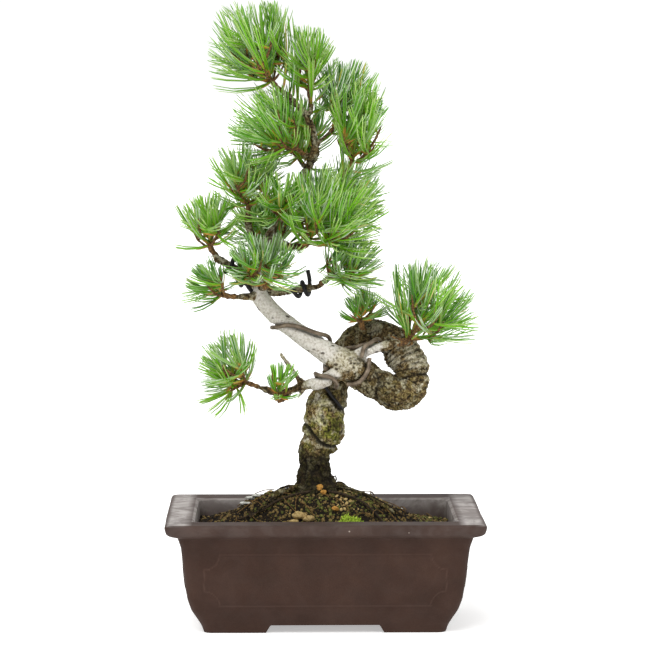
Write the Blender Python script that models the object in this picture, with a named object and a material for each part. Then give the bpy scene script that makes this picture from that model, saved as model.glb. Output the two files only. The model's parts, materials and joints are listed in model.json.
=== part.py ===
# Japanese white pine bonsai: a looped, wired trunk in a rectangular stoneware pot.
# Metres, +Z up, front towards -Y. The origin is under the middle of the pot, on the table.
# Tables below are written in millimetres, as x, y, z and radius, and turned to metres by MM.
import math
import random

import bmesh
import bpy
import numpy as np
from mathutils import Vector

MM = 0.001
GAP = 0.3 * MM          # air left between two sub-parts that touch on the real tree
GOLDEN_TURN = math.radians(137.5)
UP = Vector((0, 0, 1))

# Pot
POT_LENGTH = 180 * MM
POT_DEPTH = 118 * MM
POT_HEIGHT = 64.5 * MM
FLOOR_TOP = 10.5 * MM
FOOT_HEIGHT = 4.6 * MM
DRAIN_RADIUS = 7 * MM
DRAIN_OFFSET = 34 * MM
PANEL_RISE = 0.8 * MM
PANEL_HALF_LENGTH = 68 * MM
PANEL_LOW, PANEL_HIGH = 17 * MM, 46.5 * MM
PANEL_SCOOP = 8.5 * MM   # radius of the hollow corners of the raised panels

# Soil
SOIL_EDGE = 53.5 * MM    # height of the soil far from the trunk
SOIL_PEAK = 76 * MM      # ground level at the trunk's foot
MOUND_HALF_LENGTH = 46 * MM
MOUND_HALF_DEPTH = 30 * MM
MOUND_STEEPNESS = 4.5
LUMP_RISE = 1.3 * MM     # the soil's lumps and hollows, away from the trunk
LUMP_SPAN_X, LUMP_SPAN_Y = 42 * MM, 38 * MM
TRUNK_FOOT = Vector((-4.5 * MM, 0, SOIL_PEAK))

# Needles
SHORTEST_NEEDLE = 0.5       # as a share of the full length; a shorter one is left out
NEEDLE_RADIUS = 1.1 * MM    # room kept round a bundle of five needles at its root
SHOOT_LEAD = 11 * MM        # the stretch of a shoot that carries needles
SHOOT_SIDES = 5
SHOOT_SHAPE = ((0.0, 1.2), (0.33, 2.1), (0.7, 1.9), (1.0, 1.1))   # share of the lead, radius in mm
FAN_WIDEST = math.radians(86)
BOX_HALF_LENGTH, BOX_HALF_DEPTH = 88.5 * MM, 57.5 * MM


def clear_scene():
    for thing in list(bpy.data.objects):
        bpy.data.objects.remove(thing, do_unlink=True)


def finish(name, colour, roughness, metallic=0.0):
    material = bpy.data.materials.new(name)
    material.use_nodes = True
    shader = material.node_tree.nodes["Principled BSDF"]
    shader.inputs["Base Color"].default_value = (*colour, 1)
    shader.inputs["Roughness"].default_value = roughness
    shader.inputs["Metallic"].default_value = metallic
    material.diffuse_color = (*colour, 1)
    return material


def add_object(name, mesh, material=None, helper=False):
    thing = bpy.data.objects.new(name, mesh)
    bpy.context.scene.collection.objects.link(thing)
    if material:
        mesh.materials.append(material)
    if helper:
        thing.hide_render = True
        thing.display_type = "WIRE"
    return thing


def loft(rings, name):
    # Joins rings of equal length by quads and closes both ends; a ring of one point is a tip.
    work = bmesh.new()
    made = [[work.verts.new(point) for point in ring] for ring in rings]
    for low, high in zip(made, made[1:]):
        count = max(len(low), len(high))
        for i in range(count):
            j = (i + 1) % count
            if len(high) == 1:
                work.faces.new((low[i], low[j], high[0]))
            elif len(low) == 1:
                work.faces.new((low[0], high[j], high[i]))
            else:
                work.faces.new((low[i], low[j], high[j], high[i]))
    for ring, turned in ((made[0], True), (made[-1], False)):
        if len(ring) > 2:
            work.faces.new(reversed(ring) if turned else ring)
    bmesh.ops.recalc_face_normals(work, faces=work.faces)
    mesh = bpy.data.meshes.new(name)
    work.to_mesh(mesh)
    work.free()
    return mesh


def boolean(thing, operation, other, solver="EXACT"):
    modifier = thing.modifiers.new(operation.title() + " " + other.name, "BOOLEAN")
    modifier.operation = operation
    modifier.object = other
    modifier.solver = solver


def to_points(table):
    return [(Vector(row[:3]) * MM, row[3] * MM) for row in table]


def smooth_line(points, step):
    # A Catmull-Rom curve through the points, read about every step, as (place, radius).
    line = []
    padded = [points[0], *points, points[-1]]
    for a, b, c, d in zip(padded, padded[1:], padded[2:], padded[3:]):
        pieces = max(1, round((c[0] - b[0]).length / step))
        for k in range(pieces):
            t = k / pieces
            weights = (
                -0.5 * t + t * t - 0.5 * t**3,
                1 - 2.5 * t * t + 1.5 * t**3,
                0.5 * t + 2 * t * t - 1.5 * t**3,
                -0.5 * t * t + 0.5 * t**3,
            )
            place = sum((w * p[0] for w, p in zip(weights, (a, b, c, d))), Vector())
            line.append((place, b[1] * (1 - t) + c[1] * t))
    line.append(points[-1])
    return line


def inward_bend(places, i):
    # The direction to the centre of the bend at place i, and the bend's radius.
    before = places[max(0, i - 1)]
    after = places[min(len(places) - 1, i + 1)]
    first, second = places[i] - before, after - places[i]
    if first.length < 1e-9 or second.length < 1e-9:
        return Vector(), 1.0
    change = second.normalized() - first.normalized()
    if change.length < 1e-4:
        return Vector(), 1.0
    return change.normalized(), 0.5 * (first.length + second.length) / change.length


def sweep_rings(line, sides, extra=0.0, first_direction=None):
    # Rings round a line, carried along without twist. On a tight bend the inner side is
    # pressed flat, as bark is there, so that the rings never cross.
    places = [place for place, _ in line]
    rings = []
    side = None
    for i, (place, radius) in enumerate(line):
        ahead = places[min(len(places) - 1, i + 1)] - places[max(0, i - 1)]
        along = ahead.normalized()
        if i == 0 and first_direction:
            along = first_direction
        if side is None:
            side = along.cross(Vector((0.31, 0.95, 0.1))).normalized()
        side = (side - along * side.dot(along)).normalized()
        other = along.cross(side)
        inward, bend_radius = inward_bend(places, i)
        inward = inward - along * inward.dot(along)
        reach = 0.8 * bend_radius
        ring = []
        for k in range(sides):
            turn = math.tau * k / sides
            offset = (side * math.cos(turn) + other * math.sin(turn)) * (radius + extra)
            offset -= inward * max(0.0, offset.dot(inward) - reach)
            ring.append(place + offset)
        rings.append(ring)
    return rings


def limb_line(table, step):
    return smooth_line(to_points(table), step)


# Pot: each row is half the length, the height and the corner radius, from the foot up.
POT_OUTSIDE = (
    (68.6, 0, 5), (69.8, 4, 5), (71.9, 7.8, 5), (75.2, 13.5, 5), (77.4, 20, 5), (78.8, 29.5, 5),
    (80, 41, 5), (81.1, 50, 5), (83, 56, 5), (87.4, 57.7, 4), (89, 59, 4), (89.8, 61.5, 4),
    (90, 63.3, 4), (88.8, 64.5, 4),
)
POT_INSIDE = (
    (62, 10.5, 9), (66.5, 14, 9), (70, 27, 8), (72, 45, 7), (73.2, 62.4, 6), (74.2, 65.5, 6),
)
CORNER_STEPS = 3


def rounded_ring(half_length, half_depth, height, corner, between=(0, 0)):
    # A rounded rectangle; between gives the extra points along its long and short sides.
    corners = []
    for quarter, (sx, sy) in enumerate(((1, 1), (-1, 1), (-1, -1), (1, -1))):
        arc = []
        for k in range(CORNER_STEPS + 1):
            turn = math.radians(90 * (quarter + k / CORNER_STEPS))
            x = sx * (half_length - corner) + corner * math.cos(turn)
            y = sy * (half_depth - corner) + corner * math.sin(turn)
            arc.append(Vector((x, y, height)))
        corners.append(arc)
    ring = []
    for i, arc in enumerate(corners):
        extra = between[i % 2]
        start = corners[(i + 1) % 4][0]
        ring += arc + [arc[-1].lerp(start, (k + 1) / (extra + 1)) for k in range(extra)]
    return ring


def pot_rings(profile, grow=0.0):
    narrower = (POT_LENGTH - POT_DEPTH) / 2
    rings = []
    for half, height, corner in profile:
        half_length = half * MM + grow
        rings.append(rounded_ring(half_length, half_length - narrower, height * MM, corner * MM))
    return rings


def prism(outline, direction, half_width, name):
    # The outline's points stand across the direction, which the prism runs along both ways.
    ends = [[point + direction * reach for point in outline] for reach in (-half_width, half_width)]
    return loft(ends, name)


def panel_outline(half, across):
    # A rectangle with scooped corners, drawn on the plane of across and the upright.
    steps = 4
    middle = (PANEL_LOW + PANEL_HIGH) / 2
    half_height = (PANEL_HIGH - PANEL_LOW) / 2
    outline = []
    for quarter, (sx, sz) in enumerate(((1, 1), (-1, 1), (-1, -1), (1, -1))):
        for k in range(steps + 1):
            turn = math.radians(90 * (quarter + 3 - k / steps))
            x = sx * half + PANEL_SCOOP * math.cos(turn)
            z = middle + sz * half_height + PANEL_SCOOP * math.sin(turn)
            outline.append(across * x + UP * z)
    return outline


def make_pot():
    stoneware = finish("stoneware", (0.073, 0.040, 0.030), 0.55)
    pot = add_object("pot", loft(pot_rings(POT_OUTSIDE), "pot"), stoneware)
    narrower = (POT_LENGTH - POT_DEPTH) / 2
    sides = (("long", Vector((1, 0, 0)), Vector((0, 1, 0)), PANEL_HALF_LENGTH),
             ("short", Vector((0, 1, 0)), Vector((1, 0, 0)), PANEL_HALF_LENGTH - narrower))
    for word, across, through, half in sides:
        panel = add_object("panel " + word, loft(pot_rings(POT_OUTSIDE[2:9], PANEL_RISE), "panel"), None, True)
        outline = prism(panel_outline(half, across), through, POT_LENGTH, "outline")
        boolean(panel, "INTERSECT", add_object("panel outline " + word, outline, None, True))
        boolean(pot, "UNION", panel)
    cavity = add_object("pot cavity", loft(pot_rings(POT_INSIDE), "cavity"), None, True)
    boolean(pot, "DIFFERENCE", cavity)

    recess = [rounded_ring(57 * MM, 26 * MM, z, 6 * MM) for z in (-MM, FOOT_HEIGHT)]
    boolean(pot, "DIFFERENCE", add_object("base recess", loft(recess, "recess"), None, True))
    for word, half_low, across, through in (
        ("front to back", 33.5 * MM, Vector((1, 0, 0)), Vector((0, 1, 0))),
        ("side to side", 17 * MM, Vector((0, 1, 0)), Vector((1, 0, 0))),
    ):
        outline = []
        for sign, half, height in ((1, 0.5 * MM, -MM), (1, -3 * MM, FOOT_HEIGHT),
                                   (-1, -3 * MM, FOOT_HEIGHT), (-1, 0.5 * MM, -MM)):
            outline.append(across * sign * (half_low + half) + UP * height)
        cutter = prism(outline, through, POT_LENGTH, "foot gap")
        boolean(pot, "DIFFERENCE", add_object("foot gap " + word, cutter, None, True))
    for sign in (-1, 1):
        hole = []
        for z in (-MM, FLOOR_TOP + 2 * MM):
            turns = [math.tau * k / 16 for k in range(16)]
            hole.append([Vector((sign * DRAIN_OFFSET + DRAIN_RADIUS * math.cos(t),
                                 DRAIN_RADIUS * math.sin(t), z)) for t in turns])
        word = "left" if sign < 0 else "right"
        boolean(pot, "DIFFERENCE", add_object("drain " + word, loft(hole, "drain"), None, True))


def soil_height(x, y):
    # A mound that is flat under the trunk and falls off to the edges of the pot, with low lumps.
    across = math.hypot((x - TRUNK_FOOT.x) / MOUND_HALF_LENGTH, y / MOUND_HALF_DEPTH)
    mound = SOIL_EDGE + (SOIL_PEAK - SOIL_EDGE) / (1 + across**MOUND_STEEPNESS)
    lumps = math.sin(math.tau * x / LUMP_SPAN_X + 1) * math.sin(math.tau * y / LUMP_SPAN_Y + 2)
    return mound + LUMP_RISE * lumps * min(1, max(0, 2.5 * across - 1))


def make_soil():
    grit = finish("soil", (0.050, 0.040, 0.020), 0.95)
    clear = 0.5 * MM
    between = (7, 4)
    narrower = (POT_LENGTH - POT_DEPTH) / 2
    rings = []
    for half, height, corner in ((61.5, 10.5 + 0.6, 8.5), (66, 14.5, 8.5), (69.8, 27, 7.5), (71.6, 45, 6.5)):
        half_length = half * MM - clear
        rings.append(rounded_ring(half_length, half_length - narrower, height * MM, corner * MM, between))
    edge_half = 72.2 * MM - clear
    edge = rounded_ring(edge_half, edge_half - narrower, 0, 6.3 * MM, between)
    fills = 8
    for k in range(fills):
        share = 1 - k / fills
        ring = []
        for point in edge:
            spot = Vector((TRUNK_FOOT.x * (1 - share), 0, 0)) + point * share
            ring.append(Vector((spot.x, spot.y, soil_height(spot.x, spot.y) - GAP)))
        rings.append(ring)
    rings.append([Vector((TRUNK_FOOT.x, 0, SOIL_PEAK - GAP))])
    add_object("soil", loft(rings, "soil"), grit)


# Trunk, from the cut at ground level: the foot, the swollen ball, up behind the fork, over
# the top of the loop, down its right side, back along its underside to the fork, and from
# there up the pale stretch and through the crown to the tip.
TRUNK = (
    (-4.5, 0, 76, 12.8), (-4.9, 0, 79.5, 11.4), (-5.2, 0, 84, 9.8), (-5.4, 0, 90, 8.9),
    (-5.2, 0, 97, 9.3), (-4.2, 0, 101, 9.9), (-1.4, 0, 105, 11.5), (-0.4, 0, 110, 12.2),
    (0, -0.5, 115, 11.5), (0.2, 0, 120, 11.3), (1.2, 0.5, 125, 11.7), (3, 2, 129.5, 10.7),
    (5.3, 4.5, 134.5, 9.5), (7.7, 8.5, 141.5, 8.6), (10.1, 11.5, 149.8, 8.1), (14.2, 12.5, 157.8, 7.8),
    (21.6, 12, 163.2, 7.8), (30.2, 9, 165.2, 8.2), (38.6, 4, 162.1, 8.8), (45, 2, 156, 9.4),
    (49.4, 0, 149.2, 9.7), (50.6, -2, 141, 9.8), (47.6, -4, 134.3, 9.9), (41.5, -6, 132.6, 9.8),
    (34.2, -7.5, 135.6, 9.5), (26.7, -9, 139.7, 9.1), (20, -10.5, 144.7, 9.2),
    (13.5, -11, 149.2, 8.9), (4.9, -10, 154.3, 6.7), (-4.7, -9, 160.5, 6.0), (-15.5, -7, 167.8, 5.4),
    (-25.4, -5, 175.4, 5.2), (-33.2, -3, 183.1, 5.2), (-37.8, -1, 191.3, 4.8),
    (-37.2, 1, 202.6, 4.1), (-33.2, 3, 214, 3.8), (-26.9, 4, 228.3, 3.4), (-19.4, 4, 242.7, 3.1),
    (-11.4, 3, 256.4, 2.8), (-5.7, 2, 269, 2.5), (-6.2, 1, 281.6, 2.2), (-12, 0, 293, 1.9),
    (-20.5, -1, 302, 1.7), (-26, -1.6, 306.5, 1.5),
)
TRUNK_SIDES = 11
TRUNK_STEP = 5.2 * MM

# Roots at the surface, as x, y and radius: each lies on the soil, and starts in the trunk.
ROOTS = {
    "root_left": ((-8, 0, 2.6), (-15, -6, 2.4), (-23, -12, 2.0), (-32, -17, 1.7), (-42, -22, 1.3)),
    "root_right": ((0, 0, 2.6), (9, -5, 2.4), (19, -9, 1.9), (30, -12, 1.6), (40, -15, 1.2)),
    "root_back": ((-3, 3, 2.6), (2, 11, 2.3), (9, 19, 1.8), (14, 26, 1.3)),
}

# Every other limb: what it grows from, and its line.
LIMBS = {
    "bough_low_left": ("trunk", ((13, -11, 147.5, 4.6), (3.2, -15, 142.1, 4.1), (-4.7, -14, 139.2, 3.6),
                                 (-12.1, -10, 136.8, 3.1), (-19.5, -8, 134.2, 2.4), (-26.4, -7, 133.4, 2),
                                 (-34, -6, 135, 1.8), (-39.5, -5, 136.8, 1.6))),
    "bough_low_right": ("trunk", ((16, -11, 153, 3.8), (24.9, -13, 158, 3.2), (34, -13, 160.3, 2.7),
                                  (39.5, -12.8, 161, 2.3), (43.5, -12.6, 162, 2.1))),
    "bough_loop": ("trunk", ((24, 8, 161, 3), (22.8, 2.5, 167, 2.4), (22, 0, 169.5, 2))),
    "bough_crown_left": ("trunk", ((-37, -1, 193.5, 3.6), (-44.6, -4, 197.8, 3), (-51.4, -6, 204.2, 2.5),
                                   (-59.4, -8, 209.4, 2.1), (-62.5, -8.6, 213, 1.9))),
    "bough_crown_low_left": ("trunk", ((-36, -2, 189.5, 2.6), (-45, -8, 188, 2.1), (-52.5, -11, 188.5, 1.8))),
    "bough_crown_front": ("trunk", ((-37, 0, 193, 2.6), (-35, -8, 193.2, 2.1), (-34, -12, 193.8, 1.8))),
    "bough_crown_low_right": ("trunk", ((-37, 0, 192, 3), (-27, 2, 190, 2.6), (-14, 2, 191.5, 2.3),
                                        (-4, 0, 193.5, 2), (-0.5, -1.5, 196, 1.8))),
    "bough_crown_centre": ("trunk", ((-31, 3.5, 220, 2.5), (-20.5, -5, 216.5, 2.1), (-13, -11, 217, 1.8))),
    "bough_crown_mid_left": ("trunk", ((-34, 3, 212, 2.5), (-40, 0, 221, 2.1), (-43.4, -3, 229, 1.9),
                                       (-43.3, -4, 235, 1.7))),
    "bough_crown_mid_front": ("trunk", ((-24, 4, 234, 2.1), (-25, -5, 233, 1.8), (-25.5, -12, 233.5, 1.6))),
    "bough_crown_upper_left": ("trunk", ((-6, 2, 266, 2), (-9.5, -2, 268, 1.7), (-12, -4, 269.5, 1.5))),
    "bough_crown_upper_right": ("trunk", ((-14, 3, 251, 2.3), (-1.1, 0, 249, 2), (9.5, -3, 253.5, 1.8),
                                          (13.8, -4, 260, 1.6))),
    "bough_crown_top_middle": ("trunk", ((-10, 0.5, 290, 1.8), (-7, 0, 295, 1.5), (-8, -0.5, 300, 1.4))),
    "bough_crown_top_right": ("trunk", ((-6, 1, 274, 1.9), (0.5, 4, 278.5, 1.6), (5, 6, 283, 1.4))),
    "bough_crown_back_low": ("trunk", ((-36, 2, 206, 2.6), (-34, 10, 206.5, 2.2), (-31, 17, 209, 1.8))),
    "bough_crown_back_right": ("trunk", ((-24, 4, 234, 2.4), (-12, 8, 231, 2.1), (-1, 13, 231, 1.8),
                                         (5, 16, 233, 1.6))),
    "bough_crown_back_upper": ("trunk", ((-9, 3, 261, 2.1), (-11, 10, 261.5, 1.8), (-13, 15.5, 264, 1.5))),
    "twig_low_inner": ("bough_low_left", ((-18, -8, 134.5, 1.9), (-22, -12.5, 131, 1.5), (-24, -14, 130, 1.3))),
    "dead_twig_upper": ("bough_low_left", ((-11.5, -10, 136.8, 2.3), (-17.5, -10.8, 145.5, 1.5),
                                           (-21, -11.5, 150, 1.2), (-25, -12, 156, 0.7))),
    "dead_twig_lower": ("bough_low_left", ((-10, -10.5, 137, 2.4), (-13.6, -11.2, 132.2, 1.6),
                                           (-15.6, -11.6, 129.8, 0.9))),
    "cut_stub": ("bough_low_right", ((27, -12.5, 158.7, 2.4), (25.8, -16.5, 157.9, 2.2), (25.2, -19, 157.4, 2.1))),
}
LIMB_SIDES = 7
LIMB_STEP = 6 * MM


def limb_colour(name):
    if name.startswith("root"):
        return (0.10, 0.075, 0.042), 0.9
    if name.startswith(("bough_low", "cut")):
        return (0.42, 0.38, 0.30), 0.8
    return (0.16, 0.10, 0.06), 0.9


def root_line(table):
    # The root's line, with its height worked out so that it just lies on the soil.
    line = []
    step = 0.5 * MM
    for x, y, radius in table:
        spot = Vector((x * MM, y * MM, 0))
        height = soil_height(spot.x, spot.y)
        slope = Vector((soil_height(spot.x + step, spot.y) - height, soil_height(spot.x, spot.y + step) - height))
        lift = (radius * MM + GAP) * math.hypot(1, slope.length / step)
        line.append((Vector((spot.x, spot.y, height + lift)), radius * MM))
    return smooth_line(line, LIMB_STEP)


def make_trunk_and_limbs():
    # Returns every limb's line, so that wires and needles can keep clear of it.
    bark = finish("bark", (0.16, 0.125, 0.07), 0.9)
    lines = {"trunk": limb_line(TRUNK, TRUNK_STEP)}
    add_object("trunk", loft(sweep_rings(lines["trunk"], TRUNK_SIDES, 0, UP), "trunk"), bark)
    clearances = {}

    def clearance(name):
        # A slightly fatter copy of a limb, which cuts what grows from it clear of it.
        if name not in clearances:
            sides, start = (TRUNK_SIDES, UP) if name == "trunk" else (LIMB_SIDES, None)
            line = lines[name]
            if name == "trunk":
                line = [(line[0][0] - UP * 2 * MM, line[0][1]), *line]
            fatter = loft(sweep_rings(line, sides, 1.15 * GAP, start), name + " clearance")
            clearances[name] = add_object(name + " clearance", fatter, None, True)
        return clearances[name]

    for name, table in ROOTS.items():
        lines[name] = root_line(table)
    for name, (_, table) in LIMBS.items():
        lines[name] = limb_line(table, LIMB_STEP)
    for name in (*ROOTS, *LIMBS):
        parent = LIMBS[name][0] if name in LIMBS else "trunk"
        colour, roughness = limb_colour(name)
        mesh = loft(sweep_rings(lines[name], LIMB_SIDES), name)
        limb = add_object(name, mesh, finish(name + " bark", colour, roughness))
        boolean(limb, "DIFFERENCE", clearance(parent))
    return lines


# Training wires: the metal, the wire's radius, and rough points that are laid on the bark.
WIRES = {
    "wire_pale_stretch": ("bronze", 1.2, (
        (-27, 1, 168), (-30.5, -4, 171.6), (-24, -10.5, 172.2), (-17, -13.5, 172.6), (-9, -14.5, 171.2),
        (-3.5, -13.5, 168.3), (0.2, -10, 164), (3.5, -3.5, 160.5), (3, -1.5, 154), (0.6, -6, 150),
        (1.8, -12.5, 147.8))),
    "wire_fork": ("bronze", 1.2, (
        (-3, -9.5, 137.4), (-6, -12, 139.5), (-4.5, -17, 142.3), (-1, -19, 143.9), (3, -20, 143.9),
        (6, -21.5, 142.3), (8, -21.5, 139.5), (8.6, -18.5, 136), (8.5, -15.5, 133.5))),
    "wire_knob": ("bronze", 1.2, (
        (12, -18.5, 136.9), (17, -21, 137.5), (21, -22.5, 140.8), (24, -22.5, 145), (26, -21, 149),
        (26.5, -18.5, 152), (25.6, -17, 153.6))),
    "wire_fork_back": ("bronze", 1.2, (
        (12.5, -4, 158), (14.5, -5, 160.3), (17.5, -6, 162.3), (21, -7, 163), (24.5, -8, 162.3))),
    "wire_low_right": ("bronze", 1.2, (
        (21.2, -18.5, 154.5), (22, -18.5, 157.5), (24.2, -17, 160.3), (28, -15, 162.6), (31.5, -12.5, 163.3),
        (33.5, -9.5, 161.5), (34, -9.5, 158.8))),
    "wire_old": ("black", 0.9, (
        (-1.5, -10, 138), (2, -11.5, 135.2), (5.5, -11.5, 130.8), (8.8, -10.5, 126.6), (11.5, -8, 123.5))),
    "wire_crown_left": ("black", 1.2, (
        (-41, -9, 191.5), (-45, -9.5, 196), (-48.3, -8, 201), (-47, -2, 204), (-44.5, 0.5, 200), (-45.5, -4, 193.5),
        (-50, -10, 196.5), (-53.5, -11, 201.5), (-54.5, -7.5, 208.5), (-52, -2.5, 207), (-52.5, -2.5, 202),
        (-56, -7, 202.5))),
    "wire_crown_low_right": ("black", 1.2, (
        (-19, -2, 193), (-16.5, -2.6, 190.5), (-14.5, 2, 187.4), (-13, 6.2, 191), (-12.5, 2, 196), (-11, -2.8, 192.8),
        (-9.5, 1, 188), (-8, 5.2, 191.5), (-8.5, 2, 196.5), (-9, -1.5, 199.5), (-9.3, -3, 202.5))),
}
WIRE_RESOLUTION = 1
WIRE_STEP = 2.4 * MM
WIRE_COLOURS = {"bronze": (0.17, 0.115, 0.075), "black": (0.012, 0.012, 0.014)}


def nearest_on(line, point):
    # The point of a limb's line that lies nearest, and the limb's radius there.
    best = (1e9, None, 0)
    for (a, ra), (b, rb) in zip(line, line[1:]):
        along = b - a
        share = max(0.0, min(1.0, (point - a).dot(along) / max(along.length_squared, 1e-12)))
        place = a + along * share
        distance = (point - place).length
        if distance < best[0]:
            best = (distance, place, ra * (1 - share) + rb * share)
    return best


def pushed_clear(point, lines, clear):
    # Moves a point out of every limb, so that a wire lies on the bark and not in it.
    for _ in range(12):
        moved = False
        for line in lines.values():
            distance, place, radius = nearest_on(line, point)
            lack = radius + clear - distance
            if lack > 1e-6:
                point = point + (point - place).normalized() * lack
                moved = True
        if not moved:
            break
    return point


def pulled_down(point, lines, clear):
    # Moves a point half of the way down to the nearest bark, where that is close.
    gaps = [(d - r - clear, place) for d, place, r in (nearest_on(line, point) for line in lines.values())]
    gap, place = min(gaps, key=lambda found: found[0])
    if 0 < gap < 5 * MM:
        point = point + (place - point).normalized() * gap * 0.5
    return point


def make_wires(lines):
    metals = {metal: finish(metal + " wire", colour, 0.35, 0.8) for metal, colour in WIRE_COLOURS.items()}
    wire_lines = {}
    for name, (metal, radius, rough) in WIRES.items():
        clear = radius * MM + 1.5 * GAP
        obstacles = {**lines, **wire_lines}
        points = [place for place, _ in limb_line([(*spot, radius) for spot in rough], WIRE_STEP)]
        for _ in range(6):
            points = [pulled_down(point, lines, clear) for point in points]
            inner = [(a + 2 * b + c) / 4 for a, b, c in zip(points, points[1:], points[2:])]
            points = [points[0], *inner, points[-1]]
            points = [pushed_clear(point, obstacles, clear) for point in points]
        curve = bpy.data.curves.new(name, "CURVE")
        curve.dimensions = "3D"
        spline = curve.splines.new("POLY")
        spline.points.add(len(points) - 1)
        for slot, point in zip(spline.points, points):
            slot.co = (*point, 1)
        curve.bevel_depth = radius * MM
        curve.bevel_resolution = WIRE_RESOLUTION
        curve.use_fill_caps = True
        add_object(name, curve, metals[metal])
        wire_lines[name] = [(point, radius * MM) for point in points]
    return wire_lines


# Masses of needles: the limb whose tip carries each, the middle and the half sizes of the
# space that its needles fill, the number of its shoots and the length of its needles.
MASSES = {
    "needles_tip": ("trunk", (-39, -1, 328), (25, 25, 29), 5, 44),
    "needles_top_middle": ("bough_crown_top_middle", (-9, 0, 320), (17, 24, 21), 4, 36),
    "needles_top_right": ("bough_crown_top_right", (13, 7, 299), (20, 26, 23), 4, 36),
    "needles_upper_left": ("bough_crown_upper_left", (-31, -4, 286), (23, 27, 22), 4, 40),
    "needles_upper_right": ("bough_crown_upper_right", (20, -4, 282), (19, 30, 29), 4, 42),
    "needles_mid_left": ("bough_crown_mid_left", (-43, -4, 254), (23, 28, 21), 4, 34),
    "needles_mid_front": ("bough_crown_mid_front", (-24, -27, 241), (16, 24, 18), 3, 32),
    "needles_left": ("bough_crown_left", (-66, -8, 229), (19, 28, 19), 4, 32),
    "needles_low_left_crown": ("bough_crown_low_left", (-65, -12, 196), (15, 22, 14), 3, 25),
    "needles_front": ("bough_crown_front", (-34, -26, 207), (22, 26, 18), 4, 32),
    "needles_centre": ("bough_crown_centre", (4, -20, 238), (30, 30, 25), 5, 42),
    "needles_low_right_crown": ("bough_crown_low_right", (13, -6, 206), (20, 32, 19), 4, 33),
    "needles_back_low": ("bough_crown_back_low", (-33, 30, 223), (24, 25, 25), 4, 36),
    "needles_back_right": ("bough_crown_back_right", (15, 30, 243), (22, 26, 25), 4, 38),
    "needles_back_upper": ("bough_crown_back_upper", (-15, 30, 277), (24, 26, 24), 4, 38),
    "needles_right": ("bough_low_right", (57, -8, 181), (28, 33, 27), 5, 42),
    "needles_loop": ("bough_loop", (22, 0, 180), (15, 16, 12), 2, 20),
    "needles_low_left": ("bough_low_left", (-54, -5, 143), (17, 30, 25), 4, 32),
    "needles_low_inner": ("twig_low_inner", (-24, -16, 139), (11, 18, 13), 2, 21),
}
SPACE_POWER = 2.6           # 2 would be an ellipsoid; more makes the space fuller at its corners
STEM_LENGTH = 4 * MM
STEM_SIDES = 3


def turned_from(axis, tilt, turn):
    # A direction tilt away from the axis, at the angle turn round it.
    helper = UP if abs(axis.z) < 0.9 else Vector((0, 1, 0))
    side = axis.cross(helper).normalized()
    other = axis.cross(side)
    across = side * math.cos(turn) + other * math.sin(turn)
    return (axis * math.cos(tilt) + across * math.sin(tilt)).normalized()


def in_space(point, middle, halves):
    if abs(point.x) > BOX_HALF_LENGTH or abs(point.y) > BOX_HALF_DEPTH:
        return False
    return sum(abs((p - m) / h) ** SPACE_POWER for p, m, h in zip(point, middle, halves)) <= 1


class Taken:
    # The room already taken up: tapering rods, each with the name of its owner.
    def __init__(self, most=6000):
        self.ends = np.zeros((most, 2, 3))
        self.radii = np.zeros((most, 2))
        self.owners = np.zeros(most, int)
        self.names = []
        self.count = 0

    def add(self, owner, rods):
        if owner not in self.names:
            self.names.append(owner)
        for first, second in zip(rods, rods[1:]):
            self.ends[self.count] = (first[0], second[0])
            self.radii[self.count] = (first[1], second[1])
            self.owners[self.count] = self.names.index(owner)
            self.count += 1

    def least_gap(self, first, second, leave_out):
        # The least clearance between one rod and the others, apart from those of some owners.
        skip = [self.names.index(name) for name in leave_out if name in self.names]
        keep = ~np.isin(self.owners[: self.count], skip)
        start, end = self.ends[: self.count, 0][keep], self.ends[: self.count, 1][keep]
        radii = self.radii[: self.count][keep]
        p, q = np.array(first[0]), np.array(second[0])
        d1, d2, r = q - p, end - start, p - start
        a, e = d1 @ d1, np.maximum((d2 * d2).sum(1), 1e-12)
        b, c, f = d2 @ d1, r @ d1, (d2 * r).sum(1)
        s = np.clip((b * f - c * e) / np.maximum(a * e - b * b, 1e-15), 0, 1)
        t = np.clip((b * s + f) / e, 0, 1)
        s = np.clip((b * t - c) / a, 0, 1)
        apart = np.linalg.norm(r + s[:, None] * d1 - t[:, None] * d2, axis=1)
        thick = first[1] * (1 - s) + second[1] * s + radii[:, 0] * (1 - t) + radii[:, 1] * t
        return float((apart - thick).min())


def core_rods(root, axis):
    # The slim body of a shoot, as rods.
    return [(root + axis * SHOOT_LEAD * share, radius * MM) for share, radius in SHOOT_SHAPE]


def grow_stem(name, lines):
    limb, middle, _, _, _ = MASSES[name]
    (before, _), (tip, radius) = lines[limb][-2:]
    along = (tip - before).normalized()
    root = tip + along * GAP
    bend = root + along * 2 * MM
    aim = (Vector(middle) * MM - bend).normalized()
    end = bend + (along * 0.4 + aim).normalized() * STEM_LENGTH
    return [(root, radius * 0.96), (bend, radius * 0.92), (end, radius * 0.8)]


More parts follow.
